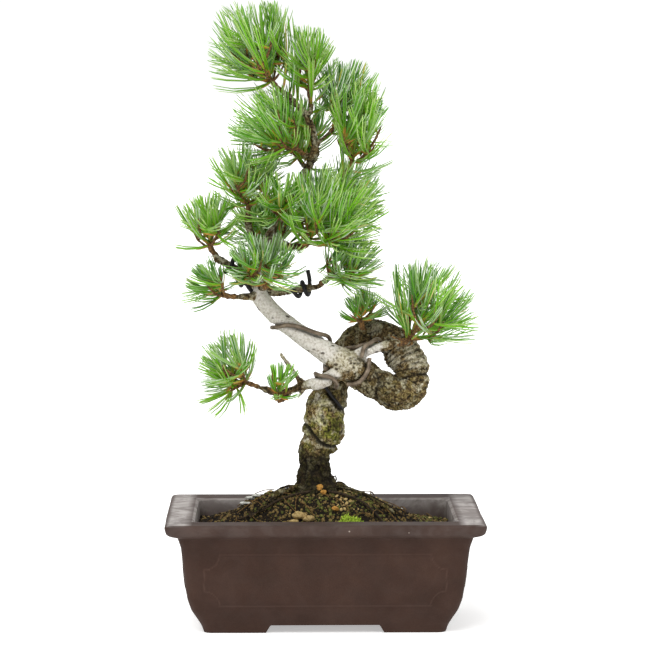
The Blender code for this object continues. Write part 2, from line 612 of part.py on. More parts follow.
def grow_shoots(name, stem, taken):
    # Side shoots by the golden angle round the line from the stem to the middle of the space.
    limb, middle, halves, count, _ = MASSES[name]
    middle, halves = Vector(middle) * MM, Vector(halves) * MM
    chance = random.Random(name)
    end, thick = stem[-1]
    aim = (middle - end).normalized()
    main_axis = (aim + UP * 0.35).normalized()
    shoots = [(end - main_axis * 1.5 * MM, main_axis)]
    twigs = []
    taken.add(name + " 0", core_rods(*shoots[0]))
    first_turn = chance.uniform(0, math.tau)
    for k in range(count - 1):
        for attempt in range(12):
            tilt = math.radians(chance.uniform(48, 80))
            turn = first_turn + k * math.tau / (count - 1) + chance.uniform(-0.5, 0.5)
            out = turned_from(aim, tilt, turn)
            reach = out.x * halves.x, out.y * halves.y, out.z * halves.z
            root = end + Vector(reach) * chance.uniform(0.34, 0.5) + UP * 1.5 * MM
            axis = (out * 0.5 + UP * 0.5 + aim * 0.35).normalized()
            start = stem[1][0].lerp(end, 0.6)
            twig = [(start, thick * 0.8), (root + axis * 2.5 * MM, thick * 0.65)]
            rods = core_rods(root, axis)
            tests = [*zip(rods, rods[1:]), (twig[0], twig[1])]
            fits = in_space(rods[2][0], middle, halves * 1.05)
            if fits and all(taken.least_gap(a, b, (name, limb, name + " 0")) > 1.5 * GAP for a, b in tests):
                if taken.least_gap(rods[0], rods[2], (name,)) > 1.5 * GAP:
                    taken.add(f"{name} {len(shoots)}", rods)
                    taken.add(name, twig)
                    shoots.append((root, axis))
                    twigs.append(twig)
                    break
    return shoots, twigs


def shoot_body(shoot):
    # The corners and three-sided faces of a shoot's slim body. Each face can carry a needle.
    root, axis = shoot
    rings = sweep_rings(core_rods(root, axis), SHOOT_SIDES)
    corners = [point for ring in rings for point in ring] + [root, root + axis * SHOOT_LEAD * 1.1]
    faces = []
    for i in range(len(rings) - 1):
        for k in range(SHOOT_SIDES):
            a, b = i * SHOOT_SIDES + k, i * SHOOT_SIDES + (k + 1) % SHOOT_SIDES
            faces += [(a, b, b + SHOOT_SIDES), (a, b + SHOOT_SIDES, a + SHOOT_SIDES)]
    last = (len(rings) - 1) * SHOOT_SIDES
    for k in range(SHOOT_SIDES):
        j = (k + 1) % SHOOT_SIDES
        faces += [(last + k, last + j, len(corners) - 1), (j, k, len(corners) - 2)]
    return corners, faces


def grow_needle(name, own, shoot, start, chance, taken):
    # The tip of the needle that stands on a face's middle, or None. The fan is narrow at the
    # shoot's end and wide at its foot. A needle that would leave the mass's space or touch
    # something else is shortened, and then left out.
    _, middle, halves, _, full = MASSES[name]
    middle, halves, full = Vector(middle) * MM, Vector(halves) * MM, full * MM
    root, axis = shoot
    along = (start - root).dot(axis)
    sideways = (start - root - axis * along).normalized()
    share = max(0.0, min(1.0, along / (SHOOT_LEAD * 1.05)))
    tilt = FAN_WIDEST * (1 - share) ** 0.55 + chance.uniform(-0.08, 0.08)
    out = axis * math.cos(tilt) + sideways * math.sin(tilt)
    out = (out + UP * 0.15 * math.sin(tilt)).normalized()
    length = full * chance.uniform(0.86, 1.04)
    while length > full * SHORTEST_NEEDLE:
        tip = start + out * length
        if in_space(tip, middle, halves):
            if taken.least_gap((start, NEEDLE_RADIUS), (tip, 0.0), (own, name)) > 1.3 * GAP:
                return tip
        length -= 2 * MM
    return None


def spray_mesh(corners, faces, tips, name):
    # A shoot's body with its needles: a face with a needle is drawn out to the needle's tip.
    work = bmesh.new()
    points = [work.verts.new(corner) for corner in corners]
    for (a, b, c), tip in zip(faces, tips):
        if tip is None:
            work.faces.new((points[a], points[b], points[c]))
            continue
        top = work.verts.new(tip)
        for i, j in ((a, b), (b, c), (c, a)):
            work.faces.new((points[i], points[j], top))
    bmesh.ops.recalc_face_normals(work, faces=work.faces)
    mesh = bpy.data.meshes.new(name)
    work.to_mesh(mesh)
    work.free()
    return mesh


def make_masses(lines, wire_lines):
    needles = finish("needles", (0.14, 0.30, 0.05), 0.5)
    taken = Taken()
    for name, line in (*lines.items(), *wire_lines.items()):
        taken.add(name, line)
    stems = {name: grow_stem(name, lines) for name in MASSES}
    for name, stem in stems.items():
        taken.add(name, stem)
    grown = {name: grow_shoots(name, stems[name], taken) for name in MASSES}
    chances = {name: random.Random(name + " needles") for name in MASSES}
    bodies = {name: [shoot_body(shoot) for shoot in grown[name][0]] for name in MASSES}
    tips = {name: [[None] * len(faces) for _, faces in bodies[name]] for name in MASSES}
    for k in range(len(bodies["needles_tip"][0][1])):
        for name, (shoots, _) in grown.items():
            for i, (shoot, (corners, faces), found) in enumerate(zip(shoots, bodies[name], tips[name])):
                start = sum((corners[corner] for corner in faces[k]), Vector()) / 3
                own = f"{name} {i}"
                if len(corners) - 2 not in faces[k]:
                    found[k] = grow_needle(name, own, shoot, start, chances[name], taken)
                if found[k]:
                    taken.add(own, [(start, NEEDLE_RADIUS), (found[k], 0.0)])
    for name, (shoots, twigs) in grown.items():
        parts = [loft(sweep_rings(twig, STEM_SIDES), name) for twig in twigs]
        for (corners, faces), found in zip(bodies[name], tips[name]):
            parts.append(spray_mesh(corners, faces, found, name))
        fuse(name, loft(sweep_rings(stems[name], 5), name), parts, needles)
        print(name, len(shoots), "shoots", sum(tip is not None for found in tips[name] for tip in found), "needles")


def fuse(name, first, parts, material):
    # One union of the stem with everything that grows on it.
    mass = add_object(name, first, material)
    group = bpy.data.collections.new(name + " parts")
    bpy.context.scene.collection.children.link(group)
    for part in parts:
        group.objects.link(bpy.data.objects.new(name + " part", part))
    union = mass.modifiers.new("Union", "BOOLEAN")
    union.operation = "UNION"
    union.operand_type = "COLLECTION"
    union.collection = group
    union.solver = "EXACT"
    graph = bpy.context.evaluated_depsgraph_get()
    fused = bpy.data.meshes.new_from_object(mass.evaluated_get(graph))
    mass.modifiers.clear()
    mass.data = fused
    for part in list(group.objects):
        bpy.data.objects.remove(part, do_unlink=True)
    bpy.data.collections.remove(group)


def main():
    clear_scene()
    make_pot()
    make_soil()
    lines = make_trunk_and_limbs()
    wire_lines = make_wires(lines)
    make_masses(lines, wire_lines)


main()
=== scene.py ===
import copy
import json
import math
import random
import time

import bmesh
import bpy
import numpy as np
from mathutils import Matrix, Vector, kdtree, noise

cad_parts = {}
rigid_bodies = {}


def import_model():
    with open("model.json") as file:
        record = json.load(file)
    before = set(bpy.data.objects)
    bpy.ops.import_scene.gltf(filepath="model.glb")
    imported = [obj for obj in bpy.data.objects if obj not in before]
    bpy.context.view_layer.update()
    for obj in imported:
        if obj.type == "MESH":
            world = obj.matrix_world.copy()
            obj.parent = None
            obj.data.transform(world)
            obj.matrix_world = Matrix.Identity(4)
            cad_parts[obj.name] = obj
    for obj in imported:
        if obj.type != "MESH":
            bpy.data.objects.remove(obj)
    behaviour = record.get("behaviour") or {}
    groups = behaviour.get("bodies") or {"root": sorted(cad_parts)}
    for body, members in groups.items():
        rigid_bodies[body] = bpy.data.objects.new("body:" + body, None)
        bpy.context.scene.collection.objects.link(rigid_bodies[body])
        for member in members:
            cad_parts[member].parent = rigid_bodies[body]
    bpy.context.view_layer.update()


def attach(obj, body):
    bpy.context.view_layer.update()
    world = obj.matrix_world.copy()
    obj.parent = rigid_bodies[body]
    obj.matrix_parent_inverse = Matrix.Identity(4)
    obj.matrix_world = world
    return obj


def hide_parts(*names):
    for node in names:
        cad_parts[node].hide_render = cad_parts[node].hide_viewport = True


started = time.time()
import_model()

mm = 0.001
up = Vector((0, 0, 1))
goldenTurn = math.radians(137.5)
noise.seed_set(7)  # fixes the vector noise that bends the bark's cracks, which would vary from run to run
# What points and shapes carry into the Geometry Nodes trees. It is taken off again once they have grown.
carried = {"direction": "FLOAT_VECTOR", "outward": "FLOAT_VECTOR", "lift": "FLOAT_VECTOR", "size": "FLOAT",
           "along": "FLOAT", "inner": "BOOLEAN", "tone": "INT"}


def report(stage):
    print(f"{stage}: {time.time() - started:.1f} s")


# Shared tools

def toLinear(hexColour):
    channels = [int(hexColour[i:i + 2], 16) / 255 for i in (0, 2, 4)]
    return (*(c / 12.92 if c <= 0.04045 else ((c + 0.055) / 1.055) ** 2.4 for c in channels), 1.0)


def setInputs(tree, node, *sources, **named):
    # Fills inputs in order or by name, from a node, a socket or a plain value. A colour is its hex code.
    used = [socket for socket in node.inputs if socket.enabled]
    filled = [*zip(used, sources), *((node.inputs[key.replace("_", " ")], named[key]) for key in named)]
    for socket, source in filled:
        if isinstance(source, bpy.types.Node):
            source = next(output for output in source.outputs if output.enabled)
        if isinstance(source, bpy.types.NodeSocket):
            tree.links.new(source, socket)
        else:
            socket.default_value = toLinear(source) if socket.type == "RGBA" else source


def addNode(tree, kind, *sources, stops=(), **named):
    # One node with its links and values. A name in lower case is a setting, and stops fills a colour ramp.
    node = tree.nodes.new(kind)
    for key in [key for key in named if key.islower()]:
        setattr(node, key, named.pop(key))
    for _ in stops[2:]:
        node.color_ramp.elements.new(0.5)
    for k, (position, colour) in enumerate(stops):
        node.color_ramp.elements[k].position = position
        node.color_ramp.elements[k].color = toLinear(colour)
    setInputs(tree, node, *sources, **named)
    return node


def newMaterial(name, **uniform):
    # A Principled material, with the values that are the same all over, and the object's own coordinates.
    material = bpy.data.materials.new(name)
    material.use_nodes = True
    tree = material.node_tree
    shader = tree.nodes["Principled BSDF"]
    setInputs(tree, shader, **uniform)
    return material, tree, shader, addNode(tree, "ShaderNodeTexCoord").outputs["Object"]


def meshObject(name, points, faces, *materials):
    mesh = bpy.data.meshes.new(name)
    mesh.from_pydata([tuple(point) for point in points], [], faces)
    thing = bpy.data.objects.new(name, mesh)
    bpy.context.scene.collection.objects.link(thing)
    for material in materials:
        mesh.materials.append(material)
    return thing


class Batch:
    # Gathers many closed shapes into one mesh.
    def __init__(self):
        self.points, self.faces = [], []

    def add(self, points, faces):
        base = len(self.points)
        self.points += points
        self.faces += [tuple(base + corner for corner in face) for face in faces]

    def addLoft(self, rings):
        # Rings of equal length joined by quads, closed at both ends. A ring of one point is a tip.
        points, faces = [], []
        for low, high in zip(rings, rings[1:]):
            a, b = len(points), len(points) + len(low)
            count = max(len(low), len(high))
            for i in range(count):
                j = (i + 1) % count
                if len(high) == 1:
                    faces.append((a + i, a + j, b))
                elif len(low) == 1:
                    faces.append((a, b + j, b + i))
                else:
                    faces.append((a + i, a + j, b + j, b + i))
            points += low
        if len(rings[0]) > 2:
            faces.append(tuple(reversed(range(len(rings[0])))))
        if len(rings[-1]) > 2:
            faces.append(tuple(range(len(points), len(points) + len(rings[-1]))))
        self.add(points + rings[-1], faces)

    def build(self, name, *materials):
        # The batch as an object, with every face turned outwards.
        thing = meshObject(name, self.points, self.faces, *materials)
        work = bmesh.new()
        work.from_mesh(thing.data)
        bmesh.ops.recalc_face_normals(work, faces=work.faces)
        work.to_mesh(thing.data)
        work.free()
        return thing


def lofted(name, rings, *materials):
    batch = Batch()
    batch.addLoft(rings)
    return batch.build(name, *materials)


def applied(thing):
    # The object's modifiers turned into a plain mesh.
    graph = bpy.context.evaluated_depsgraph_get()
    mesh = bpy.data.meshes.new_from_object(thing.evaluated_get(graph))
    mesh.name = thing.name
    thing.modifiers.clear()
    thing.data = mesh


def newTree(name, **inputs):
    # A tree with named inputs. A number is an input's first value, and a word only gives its kind.
    tree = bpy.data.node_groups.new(name, "GeometryNodeTree")
    tree.interface.new_socket("Geometry", in_out="OUTPUT", socket_type="NodeSocketGeometry")
    for key, value in {"Geometry": "Geometry", **inputs}.items():
        kind = value if isinstance(value, str) else type(value).__name__.title()
        socket = tree.interface.new_socket(
            key.replace("_", " "), in_out="INPUT", socket_type="NodeSocket" + kind)
        if kind != value:
            socket.default_value = value
    return tree, tree.nodes.new("NodeGroupInput").outputs


def runTree(thing, tree, **values):
    # Grows the tree's shapes on the object and leaves them as its plain mesh.
    modifier = thing.modifiers.new(tree.name, "NODES")
    modifier.node_group = tree
    for socket in tree.interface.items_tree:
        key = socket.name.replace(" ", "_")
        if socket.in_out == "INPUT" and key in values:
            modifier[socket.identifier] = values[key]
    applied(thing)
    for name in carried:
        if name in thing.data.attributes:
            thing.data.attributes.remove(thing.data.attributes[name])


def finishPiece(thing, slot, *nodes):
    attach(thing, "root")
    if nodes:
        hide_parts(*nodes)


# Camera and studio

studio = {
    "cameraPlace": (-0.0255, -1.5878, 0.3176), "yawDegrees": 0.94, "downDegrees": 5.27, "lens": 154.2,
    "ambient": 0.62, "backdrop": 1.06,
    "floorHalf": 30.0, "floorColour": "F4F4F3", "floorGlow": 0.42,
    "lamps": {  # where each wide soft lamp stands, its strength and its apparent width in degrees
        "keyLamp": ((-0.5, -1.0, 1.5), 1.9, 34),
        "fillLamp": ((1.2, -0.9, 0.6), 0.5, 60),
        "backLamp": ((0.4, 1.3, 1.1), 0.6, 60),
    },
}


def makeStudio():
    scene = bpy.context.scene
    camera = bpy.data.objects.new("camera", bpy.data.cameras.new("camera"))
    scene.collection.objects.link(camera)
    camera.location = studio["cameraPlace"]
    camera.rotation_euler = (
        math.radians(90 - studio["downDegrees"]), 0, -math.radians(studio["yawDegrees"]))
    camera.data.sensor_width = 36
    camera.data.lens = studio["lens"]
    camera.data.clip_start = 0.05
    camera.data.clip_end = 50
    scene.camera = camera
    scene.view_settings.view_transform = "Standard"

    # Even light all round, and a backdrop that only the camera sees brighter
    scene.world = bpy.data.worlds.new("studioLight")
    scene.world.use_nodes = True
    tree = scene.world.node_tree
    seen = addNode(tree, "ShaderNodeLightPath").outputs["Is Camera Ray"]
    strength = addNode(tree, "ShaderNodeMapRange", seen, To_Min=studio["ambient"], To_Max=studio["backdrop"])
    setInputs(tree, tree.nodes["Background"], Color="FFFFFF", Strength=strength)

    for name, (place, strength, width) in studio["lamps"].items():
        lamp = bpy.data.objects.new(name, bpy.data.lights.new(name, "SUN"))
        scene.collection.objects.link(lamp)
        lamp.data.energy = strength
        lamp.data.angle = math.radians(width)
        lamp.location = place
        lamp.rotation_euler = (-Vector(place)).to_track_quat("-Z", "Y").to_euler()

    # Matt paper, lit through from below as on a light table, so that only a faint contact shadow shows
    paper = newMaterial(
        "paperSweepMatt", Roughness=0.9, Specular_IOR_Level=0.1, Base_Color=studio["floorColour"],
        Emission_Color="FFFFFF", Emission_Strength=studio["floorGlow"])[0]
    half = studio["floorHalf"]
    corners = [(-half, -half, 0), (half, -half, 0), (half, half, 0), (-half, half, 0)]
    meshObject("floor", corners, [(0, 1, 2, 3)], paper)


makeStudio()
report("studio")


# Lines of the trunk and limbs, as in the CAD: x, y, z and radius. A root's height is the soil's.

trunkRows = (
    (-4.5, 0, 76, 12.8), (-4.9, 0, 79.5, 11.4), (-5.2, 0, 84, 9.8), (-5.4, 0, 90, 8.9),
    (-5.2, 0, 97, 9.3), (-4.2, 0, 101, 9.9), (-1.4, 0, 105, 11.5), (-0.4, 0, 110, 12.2),
    (0, -0.5, 115, 11.5), (0.2, 0, 120, 11.3), (1.2, 0.5, 125, 11.7), (3, 2, 129.5, 10.7),
    (5.3, 4.5, 134.5, 9.5), (7.7, 8.5, 141.5, 8.6), (10.1, 11.5, 149.8, 8.1), (14.2, 12.5, 157.8, 7.8),
    (21.6, 12, 163.2, 7.8), (30.2, 9, 165.2, 8.2), (38.6, 4, 162.1, 8.8), (45, 2, 156, 9.4),
    (49.4, 0, 149.2, 9.7), (50.6, -2, 141, 9.8), (47.6, -4, 134.3, 9.9), (41.5, -6, 132.6, 9.8),
    (34.2, -7.5, 135.6, 9.5), (26.7, -9, 139.7, 9.1), (20, -10.5, 144.7, 9.2),
    (13.5, -11, 149.2, 8.9), (4.9, -10, 154.3, 6.7), (-4.7, -9, 160.5, 6.0), (-15.5, -7, 167.8, 5.4),
    (-25.4, -5, 175.4, 5.2), (-33.2, -3, 183.1, 5.2), (-37.8, -1, 191.3, 4.8),
    (-37.2, 1, 202.6, 4.1), (-33.2, 3, 214, 3.8), (-26.9, 4, 228.3, 3.4), (-19.4, 4, 242.7, 3.1),
    (-11.4, 3, 256.4, 2.8), (-5.7, 2, 269, 2.5), (-6.2, 1, 281.6, 2.2), (-12, 0, 293, 1.9),
    (-20.5, -1, 302, 1.7), (-26, -1.6, 306.5, 1.5),
)
rootRows = {
    "root_left": ((-8, 0, 2.6), (-15, -6, 2.4), (-23, -12, 2.0), (-32, -17, 1.7), (-42, -22, 1.3)),
    "root_right": ((0, 0, 2.6), (9, -5, 2.4), (19, -9, 1.9), (30, -12, 1.6), (40, -15, 1.2)),
    "root_back": ((-3, 3, 2.6), (2, 11, 2.3), (9, 19, 1.8), (14, 26, 1.3)),
}
limbRows = {
    "bough_low_left": ((13, -11, 147.5, 4.6), (3.2, -15, 142.1, 4.1), (-4.7, -14, 139.2, 3.6),
                       (-12.1, -10, 136.8, 3.1), (-19.5, -8, 134.2, 2.4), (-26.4, -7, 133.4, 2),
                       (-34, -6, 135, 1.8), (-39.5, -5, 136.8, 1.6)),
    "bough_low_right": ((16, -11, 153, 3.8), (24.9, -13, 158, 3.2), (34, -13, 160.3, 2.7),
                        (39.5, -12.8, 161, 2.3), (43.5, -12.6, 162, 2.1)),
    "bough_loop": ((24, 8, 161, 3), (22.8, 2.5, 167, 2.4), (22, 0, 169.5, 2)),
    "bough_crown_left": ((-37, -1, 193.5, 3.6), (-44.6, -4, 197.8, 3), (-51.4, -6, 204.2, 2.5),
                         (-59.4, -8, 209.4, 2.1), (-62.5, -8.6, 213, 1.9)),
    "bough_crown_low_left": ((-36, -2, 189.5, 2.6), (-45, -8, 188, 2.1), (-52.5, -11, 188.5, 1.8)),
    "bough_crown_front": ((-37, 0, 193, 2.6), (-35, -8, 193.2, 2.1), (-34, -12, 193.8, 1.8)),
    "bough_crown_low_right": ((-37, 0, 192, 3), (-27, 2, 190, 2.6), (-14, 2, 191.5, 2.3),
                              (-4, 0, 193.5, 2), (-0.5, -1.5, 196, 1.8)),
    "bough_crown_centre": ((-31, 3.5, 220, 2.5), (-20.5, -5, 216.5, 2.1), (-13, -11, 217, 1.8)),
    "bough_crown_mid_left": ((-34, 3, 212, 2.5), (-40, 0, 221, 2.1), (-43.4, -3, 229, 1.9),
                             (-43.3, -4, 235, 1.7)),
    "bough_crown_mid_front": ((-24, 4, 234, 2.1), (-25, -5, 233, 1.8), (-25.5, -12, 233.5, 1.6)),
    "bough_crown_upper_left": ((-6, 2, 266, 2), (-9.5, -2, 268, 1.7), (-12, -4, 269.5, 1.5)),
    "bough_crown_upper_right": ((-14, 3, 251, 2.3), (-1.1, 0, 249, 2), (9.5, -3, 253.5, 1.8),
                                (13.8, -4, 260, 1.6)),
    "bough_crown_top_middle": ((-10, 0.5, 290, 1.8), (-7, 0, 295, 1.5), (-8, -0.5, 300, 1.4)),
    "bough_crown_top_right": ((-6, 1, 274, 1.9), (0.5, 4, 278.5, 1.6), (5, 6, 283, 1.4)),
    "bough_crown_back_low": ((-36, 2, 206, 2.6), (-34, 10, 206.5, 2.2), (-31, 17, 209, 1.8)),
    "bough_crown_back_right": ((-24, 4, 234, 2.4), (-12, 8, 231, 2.1), (-1, 13, 231, 1.8),
                               (5, 16, 233, 1.6)),
    "bough_crown_back_upper": ((-9, 3, 261, 2.1), (-11, 10, 261.5, 1.8), (-13, 15.5, 264, 1.5)),
    "twig_low_inner": ((-18, -8, 134.5, 1.9), (-22, -12.5, 131, 1.5), (-24, -14, 130, 1.3)),
    "dead_twig_upper": ((-11.5, -10, 136.8, 2.3), (-17.5, -10.8, 145.5, 1.5),
                        (-21, -11.5, 150, 1.2), (-25, -12, 156, 0.7)),
    "dead_twig_lower": ((-10, -10.5, 137, 2.4), (-13.6, -11.2, 132.2, 1.6), (-15.6, -11.6, 129.8, 0.9)),
    "cut_stub": ((27, -12.5, 158.7, 2.4), (25.8, -16.5, 157.9, 2.2), (25.2, -19, 157.4, 2.1)),
}
ruleStep = {"trunk": 5.2 * mm, "limb": 6 * mm, "wire": 2.4 * mm}
gap = 0.3 * mm

soilShape = {
    "edge": 53.5 * mm, "peak": 76 * mm, "foot": Vector((-4.5 * mm, 0, 76 * mm)),
    "halfLength": 46 * mm, "halfDepth": 30 * mm, "steepness": 4.5,
    "lumpRise": 1.3 * mm, "lumpSpanX": 42 * mm, "lumpSpanY": 38 * mm,
}


def soilHeight(x, y):
    shape = soilShape
    across = math.hypot((x - shape["foot"].x) / shape["halfLength"], y / shape["halfDepth"])
    mound = shape["edge"] + (shape["peak"] - shape["edge"]) / (1 + across ** shape["steepness"])
    lumps = math.sin(math.tau * x / shape["lumpSpanX"] + 1) * math.sin(math.tau * y / shape["lumpSpanY"] + 2)
    return mound + shape["lumpRise"] * lumps * min(1, max(0, 2.5 * across - 1))


def smoothLine(points, step):
    # A Catmull-Rom curve through (place, radius), read about every step, as (place, radius, row).
    line = []
    padded = [points[0], *points, points[-1]]
    for row, (a, b, c, d) in enumerate(zip(padded, padded[1:], padded[2:], padded[3:])):
        pieces = max(1, round((c[0] - b[0]).length / step))
        for k in range(pieces):
            t = k / pieces
            weights = (
                -0.5 * t + t * t - 0.5 * t**3,
                1 - 2.5 * t * t + 1.5 * t**3,
                0.5 * t + 2 * t * t - 1.5 * t**3,
                -0.5 * t * t + 0.5 * t**3,
            )
            place = sum((w * p[0] for w, p in zip(weights, (a, b, c, d))), Vector())
            line.append((place, b[1] * (1 - t) + c[1] * t, row + t))
    line.append((points[-1][0], points[-1][1], len(points) - 1.0))
    return line


def toPoints(rows):
    return [(Vector(row[:3]) * mm, row[3] * mm) for row in rows]


def rootPoints(rows):
    # A surface root's places, at the height where it just lies on the soil.
    points = []
    step = 0.5 * mm
    for x, y, radius in rows:
        spot = Vector((x * mm, y * mm, 0))
        height = soilHeight(spot.x, spot.y)
        rises = [soilHeight(spot.x + a, spot.y + b) - height for a, b in ((step, 0), (0, step))]
        spot.z = height + (radius * mm + gap) * math.hypot(1, Vector(rises).length / step)
        points.append((spot, radius * mm))
    return points


limbPoints = {
    "trunk": toPoints(trunkRows),
    **{name: rootPoints(rows) for name, rows in rootRows.items()},
    **{name: toPoints(rows) for name, rows in limbRows.items()},
}
ruleLines = {name: smoothLine(points, ruleStep["trunk" if name == "trunk" else "limb"])
             for name, points in limbPoints.items()}


def inwardBend(places, i):
    # The direction to the centre of the bend at place i, and the bend's radius.
    before, after = places[max(0, i - 1)], places[min(len(places) - 1, i + 1)]
    first, second = places[i] - before, after - places[i]
    if first.length < 1e-9 or second.length < 1e-9:
        return Vector(), 1.0
    change = second.normalized() - first.normalized()
    if change.length < 1e-4:
        return Vector(), 1.0
    return change.normalized(), 0.5 * (first.length + second.length) / change.length


def sweepRings(line, sides, firstDirection=None, pressed=True):
    # Rings round a line of (place, radius), carried along without twist, pressed flat inside a tight bend.
    places = [row[0] for row in line]
    rings = []
    side = None
    for i, (place, radius, *_) in enumerate(line):
        along = (places[min(len(places) - 1, i + 1)] - places[max(0, i - 1)]).normalized()
        if i == 0 and firstDirection:
            along = firstDirection
        if side is None:
            side = along.cross(Vector((0.31, 0.95, 0.1))).normalized()
        side = (side - along * side.dot(along)).normalized()
        other = along.cross(side)
        inward, bendRadius = inwardBend(places, i) if pressed else (Vector(), 1.0)
        inward = inward - along * inward.dot(along)
        ring = []
        for k in range(sides):
            turn = math.tau * k / sides
            offset = (side * math.cos(turn) + other * math.sin(turn)) * radius
            offset -= inward * max(0.0, offset.dot(inward) - 0.8 * bendRadius)
            ring.append(place + offset)
        rings.append(ring)
    return rings


def addTwig(batch, line, chance):
    # A twig with a slight wander and knuckles where old needles stood.
    rows = []
    for k, (place, radius, _) in enumerate(smoothLine(line, 1.3 * mm)):
        knuckle = 1 + 0.16 * math.sin(k * 2.3) + chance.uniform(-0.06, 0.06)
        wander = Vector((chance.uniform(-1, 1), chance.uniform(-1, 1), chance.uniform(-1, 1))) * 0.12 * mm
        rows.append((place + wander, radius * knuckle))
    batch.addLoft(sweepRings(rows, 8, pressed=False))


# Bark

barkLook = {
    "trunkSides": 28, "limbSides": 18, "trunkVoxel": 0.4 * mm, "crownVoxel": 0.42 * mm, "softenings": 3,
    "mostTriangles": 196000,
    # The trunk's last row below the crown and the crown's first, so that the two meshes overlap
    "lastLowRow": 34.5, "firstCrownRow": 33.6,
    "lumpSize": 8 * mm, "lumpRise": 1.2 * mm,
    "plateSize": 3.2 * mm, "plateRise": 0.5 * mm,
    "grainSize": 1.2 * mm, "grainRise": 0.3 * mm,
    "crackSpan": 2.9 * mm, "crackShare": 0.2, "crackDepth": 0.55 * mm, "crackBend": (3 * mm, 0.9 * mm),
    "pitSize": 2.4 * mm, "pitShare": 0.38, "pitDepth": 0.9 * mm,
    "wrinkleRise": 0.28 * mm, "wrinkledRows": (18.2, 22), "wrinklesPerRow": 3.1, "wrinkleWander": 5 * mm,
    # The trunk's foot, fluted and fibrous below this height
    "fluteTop": 99 * mm, "fluteFade": 8 * mm, "fluteMiddle": 4.9 * mm, "flutes": 6, "fluteRise": 0.8 * mm,
    "fluteWander": 11 * mm, "fibreRise": 1.5 * mm, "fibreStretch": 16 * mm, "fibreScale": 3.4,
    # Depth and half width of what a wire has bitten in, and the lip beside it as a share of the depth
    "wireBite": (0.9 * mm, 1.5 * mm), "oldBite": (1.9 * mm, 1.35 * mm), "scarLip": 0.16,
    # How deep a crack or a scar lies where its painted shade starts and where that painted shade is full
    "shadeFrom": 0.12 * mm, "shadeDepth": 0.55 * mm, "scarShadeDepth": 1.3 * mm,
    "tones": {
        "brown": ((0.33, "21170C"), (0.43, "4B3B23"), (0.5, "6B5636"), (0.57, "8A7650"), (0.7, "B3A47C")),
        "grey": ((0.31, "4A402B"), (0.41, "8B8062"), (0.5, "ADA383"), (0.6, "C9C0A4"), (0.7, "E2DCC8")),
        "crust": ((0.34, "544A33"), (0.43, "8F866B"), (0.5, "B0A88F"), (0.6, "CDC6B3"), (0.7, "DDD8CA")),
        "young": ((0.32, "958B7B"), (0.42, "BAB3A7"), (0.52, "CFCAC1"), (0.68, "DCD8D1")),
        "moss": ((0.36, "2C300C"), (0.48, "6C6F26"), (0.6, "A3A14A"), (0.7, "C4C06E")),
    },
    "poreColour": "3B2F22", "dampColour": "322A1A", "crackShadeColour": "150F07",
}
# How the bark changes along the trunk, by row: pale, mossy, dark, pitted
trunkFinish = (
    (0, 0, 0.6, 1, 0.3), (4, 0, 0.55, 0.95, 0.3), (4.7, 0.1, 0.3, 0.5, 0.3), (5.6, 0.6, 0.35, 0.1, 0.4),
    (6.6, 0.5, 0.6, 0.1, 0.5), (8, 0.4, 0.8, 0.1, 0.5), (10, 0.45, 0.5, 0.1, 0.6),
    (11.2, 0.15, 0.15, 0.4, 0.5), (14, 0.1, 0.1, 0.45, 0.5), (16, 0.15, 0.1, 0.35, 0.5),
    (18, 0.3, 0.05, 0.4, 0.6), (19, 0.6, 0.05, 0.15, 0.5), (20, 0.66, 0.05, 0.05, 0.5),
    (21, 0.42, 0.15, 0.15, 0.8), (22.3, 0.42, 0.2, 0.1, 0.9), (23.5, 0.2, 0.25, 0.35, 0.9),
    (24.5, 0.1, 0.2, 0.5, 0.9), (25.8, 0.2, 0.1, 0.35, 1), (26.5, 0.5, 0.05, 0.15, 1),
    (27, 0.68, 0, 0.05, 1), (27.5, 0.75, 0, 0, 1), (28.2, 0.97, 0, 0, 0.4),
    (33, 1, 0, 0, 0.05), (34, 0.8, 0, 0.1, 0.2), (36, 0.4, 0, 0.3, 0.3), (43, 0.1, 0, 0.4, 0.3),
)
limbFinish = {
    "bough_low_left": ((0, 0.8, 0, 0, 0.5), (1, 0.9, 0, 0, 0.3), (2, 1, 0, 0, 0.1), (3, 0.6, 0, 0.1, 0.3),
                       (4, 0.35, 0, 0.3, 0.3)),
    "bough_crown_left": ((0, 0.75, 0, 0.1, 0.3), (2, 0.7, 0, 0.1, 0.3), (3, 0.5, 0, 0.2, 0.3)),
    "bough_crown_low_left": ((0, 0.6, 0, 0.1, 0.3), (1, 0.35, 0, 0.2, 0.3)),
    "bough_low_right": ((0, 0.9, 0, 0, 0.4), (1.6, 1, 0, 0, 0.1), (2.3, 0.5, 0, 0.2, 0.3),
                        (3, 0.15, 0, 0.4, 0.4)),
    "cut_stub": ((0, 1, 0, 0, 0.1),),
    "bough_loop": ((0, 0.1, 0.2, 0.4, 0.4),),
    "dead_twig_upper": ((0, 0.45, 0, 0.1, 0.2), (3, 0.7, 0, 0, 0.1)),
    "dead_twig_lower": ((0, 0.45, 0, 0.1, 0.2), (2, 0.7, 0, 0, 0.1)),
    "root": ((0, 0, 0.5, 0.9, 0.2), (1.5, 0.1, 0.35, 0.6, 0.2)),
    "other": ((0, 0.3, 0, 0.3, 0.2), (1, 0.12, 0, 0.35, 0.2)),
}
